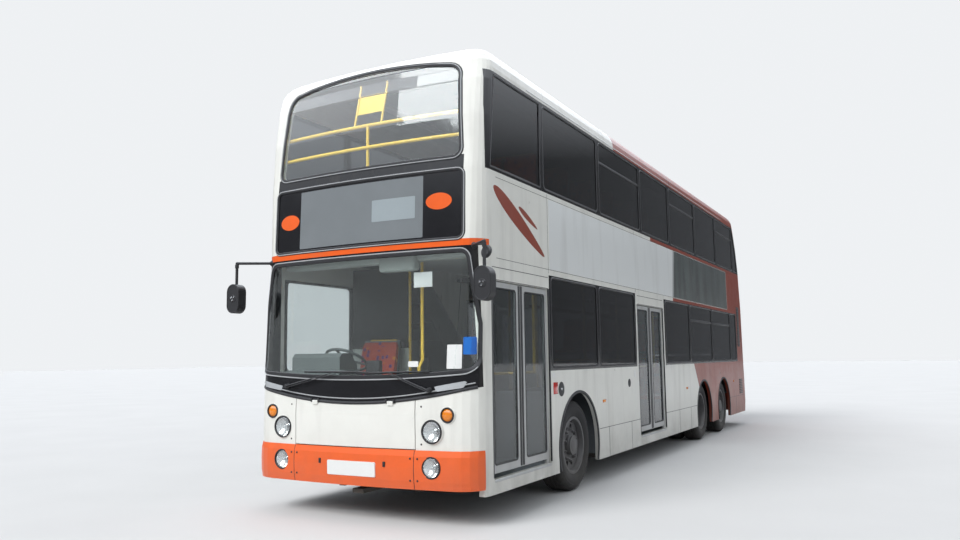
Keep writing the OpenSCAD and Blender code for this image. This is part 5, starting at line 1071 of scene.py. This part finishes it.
class BUS_OT_side_detail(bpy.types.Operator):
    """Skirt lines, arch lips, discs, reflectors, vents and small blank signs along the sides"""
    bl_idname = "bus.side_detail"
    bl_label = "Side detail"

    def execute(self, context):
        black, silver, red, white, amber, glassy = Form(), Form(), Form(), Form(), Form(), Form()
        for side, sign in SIDES:
            x = sign * HALF_W
            # lip of each wheel arch
            for y, r in ((FRONT_AXLE, 0.580), (DRIVE_AXLE, 0.530), (TAG_AXLE, 0.530)):
                floor = math.degrees(math.asin((0.270 - AXLE_Z) / r))
                path = []
                for i in range(41):
                    a = math.radians(floor + (180 - 2 * floor) * i / 40)
                    path.append((x, y + r * math.cos(a), AXLE_Z + r * math.sin(a)))
                rise = [(-0.022, -0.004), (-0.020, 0.006), (-0.004, 0.009), (0.008, 0.007), (0.012, -0.010)]
                if sign > 0:
                    rise = [(-u, v) for u, v in rise]
                black.sweep(path, [Vector((sign, 0, 0))] * len(path), [(-u, v) for u, v in rise], closed=False)
            # skirt lines and panel joints
            spans = ((3.02, 4.56), (5.82, 7.66), (10.33, 11.7)) if sign > 0 else ((0.47, 1.81), (3.02, 5.28), (6.01, 7.66), (10.33, 11.7))
            for a, b in spans:
                black.slab((x - 0.003, a, 0.602), (x + 0.0012, b, 0.608), 0)
            joints = (3.35, 4.20, 6.55, 7.25, 10.9) if sign > 0 else (0.9, 1.5, 3.6, 4.5, 6.8, 7.25, 10.9)
            for y in joints:
                black.slab((x - 0.003, y - 0.003, 0.265), (x + 0.0012, y + 0.003, 0.605), 0)
            for y in ((1.652, 4.53, 5.86) if sign > 0 else (1.67, 6.06)):
                black.slab((x - 0.003, y - 0.002, 2.28), (x + 0.001, y + 0.002, 3.10), 0)
            black.slab((x - 0.003, 0.50, 2.318), (x + 0.0012, 10.42, 2.322), 0)
            black.slab((x - 0.003, 0.50, 3.058), (x + 0.0012, 10.42, 3.062), 0)
            # gutter along the cant rail
            silver.tube([(sign * 1.2515, 1.2 + 8.9 * i / 8, 4.075) for i in range(9)], 0.006, 8, flat=0.8)
            # round caps, reflectors and repeater lamps
            for y, z, r in ((1.92, 1.100, 0.075), (4.15, 1.090, 0.052)):
                (black if sign > 0 else silver).lathe([(0.0, 0.006), (r * 0.85, 0.006), (r, 0.003), (r, -0.004)], (x, y, z), (sign, 0, 0), 28)
            silver.lathe([(0.0, 0.009), (0.012, 0.009), (0.014, 0.005)], (x, 1.92, 1.10), (sign, 0, 0), 12)
            red.slab((x - 0.004, 1.715, 1.055), (x + 0.008, 1.820, 1.175), 0.006)
            for y in (3.2, 7.05, 10.75):
                amber.slab((x - 0.004, y - 0.05, 0.895), (x + 0.010, y + 0.05, 0.930), 0.006)
            white.slab((x - 0.004, 1.690, 1.225), (x + 0.0035, 1.760, 1.270), 0.002)
            white.slab((x - 0.004, 4.35, 1.16), (x + 0.0035, 4.41, 1.25), 0.002)
            # dark upright vent behind the last window, and the louvred one low down
            for k in range(14):
                z = 1.62 + 0.055 * k
                black.slab((x - 0.006, 11.30, z), (x + 0.006, 11.52, z + 0.036), 0.004)
            black.slab((x - 0.004, 11.285, 1.595), (x + 0.0015, 11.535, 2.41), 0.003)
            for k in range(9):
                z = 0.64 + 0.034 * k
                black.slab((x - 0.006, 11.27, z), (x + 0.005, 11.60, z + 0.022), 0.003)
            # seams of the door header and the corner
        for y0, w in ((0.400, 1.240), (4.580, 1.220)):
            for z in (2.123, 2.235):
                black.slab((1.247, y0 + 0.01, z - 0.003), (1.2512, y0 + w - 0.01, z + 0.003), 0)
            silver.slab((1.190, y0 + 0.012, 0.360), (1.2535, y0 + w - 0.012, 0.384), 0.004)
            black.slab((1.235, y0 - 0.012, 0.40), (1.2528, y0 + 0.002, 2.12), 0.003)
            black.slab((1.235, y0 + w - 0.002, 0.40), (1.2528, y0 + w + 0.012, 2.12), 0.003)
        black.make("side_trims", [MATERIALS["satin black"]], slot="plastic_black")
        silver.make("side_metal", [MATERIALS["aluminium trim"]], slot="door_frame")
        red.make("side_reflectors", [MATERIALS["red lens"]], slot="lens")
        amber.make("side_repeaters", [MATERIALS["amber lens"]], slot="lens")
        white.make("side_signs", [MATERIALS["white plastic"]], slot="plastic_white")
        return {"FINISHED"}


DOORS = (("front_door", 0.400, 1.240), ("centre_door", 4.580, 1.220))


class BUS_OT_door_detail(bpy.types.Operator):
    """Rubber edges and glazing seals of the four door leaves"""
    bl_idname = "bus.door_detail"
    bl_label = "Door detail"

    def execute(self, context):
        for door, y0, w in DOORS:
            leaf_w = (w - 0.024) / 2
            for leaf in ("a", "b"):
                form = Form()
                hinge = y0 + 0.008 if leaf == "a" else y0 + w - 0.008
                to = 1 if leaf == "a" else -1
                free = hinge + to * leaf_w
                form.slab((1.183, min(free, free - to * 0.046), 0.434), (1.2275, max(free, free - to * 0.046), 2.106), 0.008)
                inner = rounded(0.055, 0.50, leaf_w - 0.090, 2.055, 0.03)
                for out in (1.2255, 1.1845):
                    path = [(out, hinge + to * y, z) for y, z in dense(inner, 0.3)]
                    form.sweep(path, [Vector((1 if out > 1.2 else -1, 0, 0))] * len(path), [(-0.007, -0.002), (-0.005, 0.002), (0.005, 0.002), (0.007, -0.002), (0.005, -0.006), (-0.005, -0.006)])
                form.make(f"{door}_rubber_{leaf}", [MATERIALS["seal rubber"]], body=f"{door}_{leaf}", slot="rubber")
        return {"FINISHED"}


def seat_mesh(cushions, shells, metal, x, y, z, w, count):
    """A seat pair: two cushions with crowned faces, moulded shells, legs and a grab rail on the back."""
    gap = bpy.context.scene.bus_sizes.seat_gap
    each = (w - gap * (count - 1)) / count
    for i in range(count):
        x0 = x - w / 2 + i * (each + gap)
        rows = []
        for t, (depth, top) in enumerate(((0.015, 0.418), (0.02, 0.448), (0.10, 0.466), (0.22, 0.462), (0.34, 0.455), (0.415, 0.452))):
            row = []
            for k in range(9):
                u = k / 8
                crown = 0.012 * (1 - (2 * u - 1) ** 2)
                row.append((x0 + 0.012 + (each - 0.024) * u, y + depth, z + top + crown - (0.012 if k in (0, 8) else 0)))
            rows.append(row)
        under = [[(px, py, z + 0.405) for px, py, pz in row] for row in rows]
        for a, b in zip(rows, under):
            a.extend(reversed(b))
        cushions.grid(rows, caps=True)
        rows = []
        for t, (height, back, thick) in enumerate(((0.47, 0.43, 0.03), (0.52, 0.440, 0.048), (0.65, 0.455, 0.052), (0.80, 0.482, 0.050), (0.93, 0.508, 0.042), (0.985, 0.522, 0.028))):
            front_row, back_row = [], []
            for k in range(9):
                u = k / 8
                hug = 0.022 * (2 * u - 1) ** 2
                inset = 0.02 if height > 0.95 else 0.0
                px = x0 + 0.014 + inset + (each - 0.028 - 2 * inset) * u
                front_row.append((px, y + back - thick / 2 - hug + (0.014 if k in (0, 8) else 0), z + height))
                back_row.append((px, y + back + thick / 2, z + height))
            rows.append(front_row + list(reversed(back_row)))
        cushions.grid(rows, caps=True)
        shells.slab((x0 + 0.004, y + 0.02, z + 0.375), (x0 + each - 0.004, y + 0.44, z + 0.408), 0.012)
        side = [(0.44, 0.38), (0.475, 0.40), (0.52, 0.65), (0.562, 0.98), (0.555, 1.005), (0.530, 1.0), (0.495, 0.75), (0.455, 0.46)]
        rows = [[(px, y + dy, z + dz) for dy, dz in side] for px in (x0 + 0.006, x0 + 0.02, x0 + each - 0.02, x0 + each - 0.006)]
        shells.grid(rows, caps=True)
    metal.tube([(x - w * 0.36, y + 0.545, z + 0.97), (x - w * 0.36, y + 0.560, z + 1.003), (x + w * 0.36, y + 0.560, z + 1.003), (x + w * 0.36, y + 0.545, z + 0.97)], 0.013, 8)
    shells.slab((x - 0.035, y + 0.20, z), (x + 0.035, y + 0.26, z + 0.38), 0.006)
    shells.slab((x - 0.08, y + 0.12, z), (x + 0.08, y + 0.34, z + 0.012), 0.004)


class BUS_OT_seats(bpy.types.Operator):
    """Seats of both saloons and the driver's seat"""
    bl_idname = "bus.seats"
    bl_label = "Seats"

    def execute(self, context):
        near = 1.200 - 0.43 - 0.015
        plans = {"upper": [], "lower": []}
        for i in range(13):
            y = 1.15 + 0.76 * i
            plans["upper"].append((near, y, 2.56, 0.86, 2))
            if y + 0.6 < 2.05 or y > 4.02:
                plans["upper"].append((-near, y, 2.56, 0.86, 2))
        for y in (3.05, 3.81):
            plans["lower"].append((near, y, 0.38, 0.86, 2))
        for y in (5.95, 6.71):
            plans["lower"].append((near, y, 0.38, 0.86, 2))
        for y in (7.38, 8.15, 8.92, 9.69):
            plans["lower"] += [(near, y, 1.10, 0.86, 2), (-near, y, 1.10, 0.86, 2)]
        plans["lower"].append((-0.70, 0.96, 0.63, 0.48, 1))
        for deck, plan in plans.items():
            cushions, shells, metal = Form(), Form(), Form()
            for item in plan:
                seat_mesh(cushions, shells, metal, *item)
            piece = cushions.make(f"{deck}_seat_cushions", [MATERIALS["moquette"]], slot="seat", angle=60, replaces=("seats",))
            shells.make(f"{deck}_seat_shells", [MATERIALS["seat shell"]], slot="seat")
            metal.make(f"{deck}_seat_rails", [MATERIALS["yellow coat"]], slot="handrail")
        return {"FINISHED"}


class BUS_OT_interior(bpy.types.Operator):
    """Ceilings, light strips, cab partition, fare box, destination gear and small cab fittings"""
    bl_idname = "bus.interior"
    bl_label = "Interior"

    def execute(self, context):
        lining, light, dark, yellow, white = Form(), Form(), Form(), Form(), Form()
        # ceiling panels of both decks, in bays
        for i in range(8):
            y0 = 1.15 + 1.15 * i
            lining.slab((-1.0, y0 + 0.006, 4.285), (1.0, min(y0 + 1.144, 10.2), 4.295), 0.003)
        for i in range(9):
            y0 = 0.50 + 1.15 * i
            for x0, x1 in ((-0.57, 1.19),) if y0 < 4.0 else ((-1.19, 1.19),):
                lining.slab((x0, y0 + 0.006, 2.494), (x1, y0 + 1.144, 2.506), 0.003)
        for sign in (-1, 1):
            for y0 in (1.3, 4.3, 7.3):
                light.slab((sign * 0.62 - 0.06, y0, 4.255), (sign * 0.62 + 0.06, y0 + 2.6, 4.285), 0.01)
            for y0 in (1.9, 4.4, 7.4):
                if sign > 0 or y0 > 4.2:
                    light.slab((sign * 0.78 - 0.05, y0, 2.468), (sign * 0.78 + 0.05, y0 + 2.0, 2.494), 0.01)
        # cab partition behind the driver, with its glass frame
        lining.slab((-1.19, 1.60, 0.635), (-0.42, 1.625, 1.55), 0.006)
        dark.slab((-1.19, 1.602, 1.55), (-0.42, 1.618, 2.46), 0.004)
        lining.slab((-0.365, 0.78, 0.635), (-0.34, 1.60, 1.25), 0.006)
        yellow.tube([(-0.388, 1.58, 0.64), (-0.388, 1.58, 2.48)], 0.016, 10)
        yellow.tube([(0.36, 0.60, 0.39), (0.36, 0.60, 1.35), (0.36, 0.66, 1.42), (0.36, 0.66, 2.48)], 0.016, 10)
        # fare box and console
        dark.slab((-0.33, 0.52, 0.95), (-0.05, 0.78, 1.24), 0.02)
        lining.slab((-0.31, 0.54, 0.385), (-0.07, 0.76, 0.95), 0.015)
        dark.slab((-0.27, 0.60, 1.24), (-0.10, 0.66, 1.42), 0.015)
        lining.slab((-0.24, 0.21, 0.90), (0.86, 0.36, 1.15), 0.05, segments=4)
        # box of the destination gear behind its glass, and the blind housing over the windscreen
        dark.slab((-1.02, 0.30, 2.50), (1.02, 0.42, 3.08), 0.02)
        lining.slab((-1.10, 0.36, 2.33), (1.10, 0.50, 2.49), 0.03, segments=3)
        lining.slab((0.10, 0.30, 2.24), (0.50, 0.42, 2.40), 0.03, segments=3)
        white.slab((0.48, 0.33, 2.08), (0.68, 0.34, 2.22), 0.003)
        lining.slab((-1.15, 0.33, 3.08), (1.15, 0.46, 3.20), 0.02)
        lining.make("interior_lining", [MATERIALS["lining"]], slot="trim_grey")
        light.make("light_strips", [MATERIALS["white plastic"]], slot="plastic_white")
        dark.make("cab_fittings", [MATERIALS["satin black"]], slot="plastic_black")
        yellow.make("cab_rails", [MATERIALS["yellow coat"]], slot="handrail")
        white.make("blind_card", [MATERIALS["white plastic"]], slot="plastic_white")
        cards = Form(shift=False)
        for x0, z0, x1, z1 in ((0.955, 1.342, 1.090, 1.548), (0.583, 1.360, 0.683, 1.410)):
            patch_on_front(cards, dense(rounded(x0, z0, x1, z1, 0.006), 0.03), -0.0062, 0.001, 4)
        cards.make("screen_cards", [MATERIALS["white plastic"]], slot="plastic_white")
        blue = Form(shift=False)
        patch_on_front(blue, dense(rounded(1.098, 1.462, 1.191, 1.612, 0.010), 0.03), -0.0062, 0.001, 4)
        blue.make("access_sign", [MATERIALS["blue plastic"]], slot="trim_grey")
        return {"FINISHED"}


class BUS_OT_sign_detail(bpy.types.Operator):
    """Fields of the destination panel: darker ends with a plain orange oval, and a blank pale insert"""
    bl_idname = "bus.sign_detail"
    bl_label = "Sign detail"

    def execute(self, context):
        grey, orange, pale = Form(shift=False), Form(shift=False), Form(shift=False)
        patch_on_front(grey, dense(rounded(-0.75, 2.512, 0.68, 3.078, 0.01), 0.05), -0.0050, 0.0005, 16)
        grey.make("sign_field", [MATERIALS["sign board"]], slot="trim_grey")
        for cx, cz in ((-0.895, 2.79), (0.838, 2.83)):
            turns = [math.radians(10 * k) for k in range(36)]
            patch_on_front(orange, [(cx + 0.128 * math.cos(a), cz + 0.076 * math.sin(a)) for a in turns], -0.0040, 0.0006, 6)
        orange.make("sign_ovals", [MATERIALS["bumper paint"]], slot="body_orange")
        patch_on_front(pale, dense(rounded(0.135, 2.695, 0.600, 2.900, 0.01), 0.04), -0.0040, 0.0008, 8)
        pale.make("sign_insert", [MATERIALS["pale card"]], slot="plastic_white")
        return {"FINISHED"}


class BUS_OT_rear_detail(bpy.types.Operator):
    """Engine grille slats, rear bumper line, window seal and roof hatches"""
    bl_idname = "bus.rear_detail"
    bl_label = "Rear detail"

    def execute(self, context):
        black, roof, slats = Form(), Form(), Form()
        for k in range(8):
            z = 1.12 + 0.062 * k
            y = 12.0 - station(z, 3)
            for x0, x1 in ((-0.722, -0.058), (0.058, 0.722)):
                slats.slab((x0, y - 0.022, z + 0.020), (x1, y + 0.006, z + 0.030), 0.003)
        slats.make("engine_grille", [MATERIALS["satin black"]], body="engine_door", slot="plastic_black")
        loop = [(x, z) for x, z in dense(trapeze(0.90, 0.84, 3.24, 3.90, 0.07, 0.09), 0.06)]
        path = [rear_point(x, z) + Vector((0, MID, 0)) for x, z in loop]
        black.sweep(path, [Vector((0, 1, 0.3)).normalized()] * len(path), [(-0.02, -0.004), (-0.018, 0.006), (0, 0.009), (0.018, 0.006), (0.02, -0.004)])
        black.slab((-1.10, 11.985, 0.640), (1.10, 12.001, 0.652), 0.002)
        for x in (-0.55, 0.55):
            black.slab((x - 0.05, 11.985, 0.50), (x + 0.05, 12.006, 0.58), 0.006)
        black.make("rear_trims", [MATERIALS["satin black"]], slot="plastic_black")
        for y in (3.2, 8.4):
            roof.slab((-0.33, y - 0.33, 4.385), (0.33, y + 0.33, 4.418), 0.02, segments=3)
        for i in range(6):
            y = 1.5 + 1.55 * i
            roof.slab((-0.96, y - 0.012, 4.345), (-0.40, y + 0.012, 4.349), 0.002)
            roof.slab((0.40, y - 0.012, 4.345), (0.96, y + 0.012, 4.349), 0.002)
        roof.make("roof_hatches", [MATERIALS["white paint"]], slot="body_white")
        return {"FINISHED"}


class BUS_OT_underside(bpy.types.Operator):
    """Prop shaft, tanks and brake chambers under the floor"""
    bl_idname = "bus.underside"
    bl_label = "Underside"

    def execute(self, context):
        form = Form()
        form.tube([(0, 8.36, 0.48), (0, 9.0, 0.50), (0.0, 10.79, 0.72)], 0.045, 16)
        for y in (5.0, 6.0):
            form.lathe([(0.0, -0.30), (0.07, -0.295), (0.11, -0.27), (0.115, -0.2), (0.115, 0.2), (0.11, 0.27), (0.07, 0.295), (0.0, 0.30)], (-0.80, y, 0.312 - 0.05 + 0.02), (0, 1, 0), 24)
        for side in (-1, 1):
            for y in (DRIVE_AXLE, TAG_AXLE):
                form.lathe([(0.0, -0.09), (0.075, -0.085), (0.085, -0.02), (0.085, 0.02), (0.07, 0.08), (0.0, 0.085)], (side * 0.46, y - 0.17, 0.47), (0, 1, 0), 20)
        form.make("underside_gear", [MATERIALS["chassis black"]], slot="chassis")
        return {"FINISHED"}


class BUS_OT_stage(bpy.types.Operator):
    """Pale floor, soft lamps and the camera at the photograph's angle"""
    bl_idname = "bus.stage"
    bl_label = "Stage"

    def execute(self, context):
        scene = context.scene
        mesh = bpy.data.meshes.new("stage floor")
        mesh.from_pydata([(-150, -150, 0), (150, -150, 0), (150, 150, 0), (-150, 150, 0)], [], [(0, 1, 2, 3)])
        floor = bpy.data.objects.new("stage floor", mesh)
        scene.collection.objects.link(floor)
        m, g, shader = new_material("stage paint")
        speck = g.noise(g.place(), 0.6, 3.0, 0.5)
        g.put(shader.inputs["Base Color"], g.mix(g.remap(speck, 0.3, 0.7), (0.70, 0.70, 0.70, 1), (0.73, 0.73, 0.73, 1)))
        shader.inputs["Roughness"].default_value = 0.85
        mesh.materials.append(m)
        world = bpy.data.worlds.new("studio")
        scene.world = world
        world.use_nodes = True
        g = Graph(world.node_tree)
        back = world.node_tree.nodes["Background"]
        shown = g.node("ShaderNodeBackground")
        shown.inputs[0].default_value = (0.86, 0.88, 0.90, 1)
        shown.inputs[1].default_value = 1.0
        back.inputs[0].default_value = (0.90, 0.95, 1.0, 1)
        back.inputs[1].default_value = 0.46
        rays = g.node("ShaderNodeLightPath")
        pick = g.math("MAXIMUM", rays.outputs["Is Camera Ray"], rays.outputs["Is Transmission Ray"])
        # reflections see a dim hall at eye level and a bright ceiling
        ceiling = g.node("ShaderNodeBackground")
        ceiling.inputs[0].default_value = (0.88, 0.93, 1.0, 1)
        up = g.split(g.node("ShaderNodeTexCoord").outputs["Generated"])[2]
        g.put(ceiling.inputs[1], g.remap(up, 0.24, 0.62, 0.14, 4.4))
        plain = g.node("ShaderNodeMixShader")
        g.put(plain.inputs[0], rays.outputs["Is Glossy Ray"])
        g.put(plain.inputs[1], back.outputs[0])
        g.put(plain.inputs[2], ceiling.outputs[0])
        mixed = g.node("ShaderNodeMixShader")
        g.put(mixed.inputs[0], pick)
        g.put(mixed.inputs[1], plain.outputs[0])
        g.put(mixed.inputs[2], shown.outputs[0])
        g.put(world.node_tree.nodes["World Output"].inputs[0], mixed.outputs[0])
        for name, direction, power, spread in (("key", (0.22, 0.85, -0.75), 2.6, 35), ("fill", (-0.9, 0.35, -0.5), 0.22, 60)):
            data = bpy.data.lights.new(name, "SUN")
            data.energy = power
            data.angle = math.radians(spread)
            lamp = bpy.data.objects.new(name, data)
            lamp.visible_glossy = False
            lamp.rotation_mode = "QUATERNION"
            lamp.rotation_quaternion = Vector(direction).to_track_quat("-Z", "Y")
            scene.collection.objects.link(lamp)
        yaw, pitch, roll = math.radians(-28.47), math.radians(6.27), math.radians(-0.76)
        forward = Vector((math.sin(yaw) * math.cos(pitch), math.cos(yaw) * math.cos(pitch), math.sin(pitch)))
        right = Vector((math.cos(yaw), -math.sin(yaw), 0))
        up = right.cross(forward)
        right, up = right * math.cos(roll) + up * math.sin(roll), up * math.cos(roll) - right * math.sin(roll)
        data = bpy.data.cameras.new("photo camera")
        data.lens, data.sensor_width, data.clip_end = 30.05, 36.0, 400.0
        camera = bpy.data.objects.new("photo camera", data)
        turn = Matrix((right, up, -forward)).transposed().to_4x4()
        camera.matrix_world = Matrix.Translation((4.516, -5.835 - MID, 1.43)) @ turn
        scene.collection.objects.link(camera)
        scene.camera = camera
        scene.view_settings.view_transform = "Standard"
        return {"FINISHED"}


STEPS = (BUS_OT_finishes, BUS_OT_front_seals, BUS_OT_cowl_trim, BUS_OT_lamps, BUS_OT_bumper_detail, BUS_OT_wipers, BUS_OT_mirrors,
         BUS_OT_tyres, BUS_OT_wheel_detail, BUS_OT_window_seals, BUS_OT_side_boards, BUS_OT_side_detail, BUS_OT_door_detail,
         BUS_OT_seats, BUS_OT_interior, BUS_OT_sign_detail, BUS_OT_rear_detail, BUS_OT_underside, BUS_OT_stage)


class BUS_PT_panel(bpy.types.Panel):
    """The bus's sizes, colours and building steps"""
    bl_idname = "BUS_PT_panel"
    bl_label = "Bus"
    bl_space_type = "VIEW_3D"
    bl_region_type = "UI"
    bl_category = "Bus"

    def draw(self, context):
        for group in (context.scene.bus_sizes, context.scene.bus_colours):
            for key in group.bl_rna.properties.keys():
                if key not in ("rna_type", "name"):
                    self.layout.prop(group, key)
        for step_class in STEPS:
            self.layout.operator(step_class.bl_idname)


def register():
    for cls in (BusSizes, BusColours, *STEPS, BUS_PT_panel):
        bpy.utils.register_class(cls)
    bpy.types.Scene.bus_sizes = bpy.props.PointerProperty(type=BusSizes)
    bpy.types.Scene.bus_colours = bpy.props.PointerProperty(type=BusColours)


def unregister():
    del bpy.types.Scene.bus_colours
    del bpy.types.Scene.bus_sizes
    for cls in reversed((BusSizes, BusColours, *STEPS, BUS_PT_panel)):
        bpy.utils.unregister_class(cls)


def main():
    register()
    for step_class in STEPS:
        area, name = step_class.bl_idname.split(".")
        getattr(getattr(bpy.ops, area), name)()


if __name__ == "__main__":
    main()
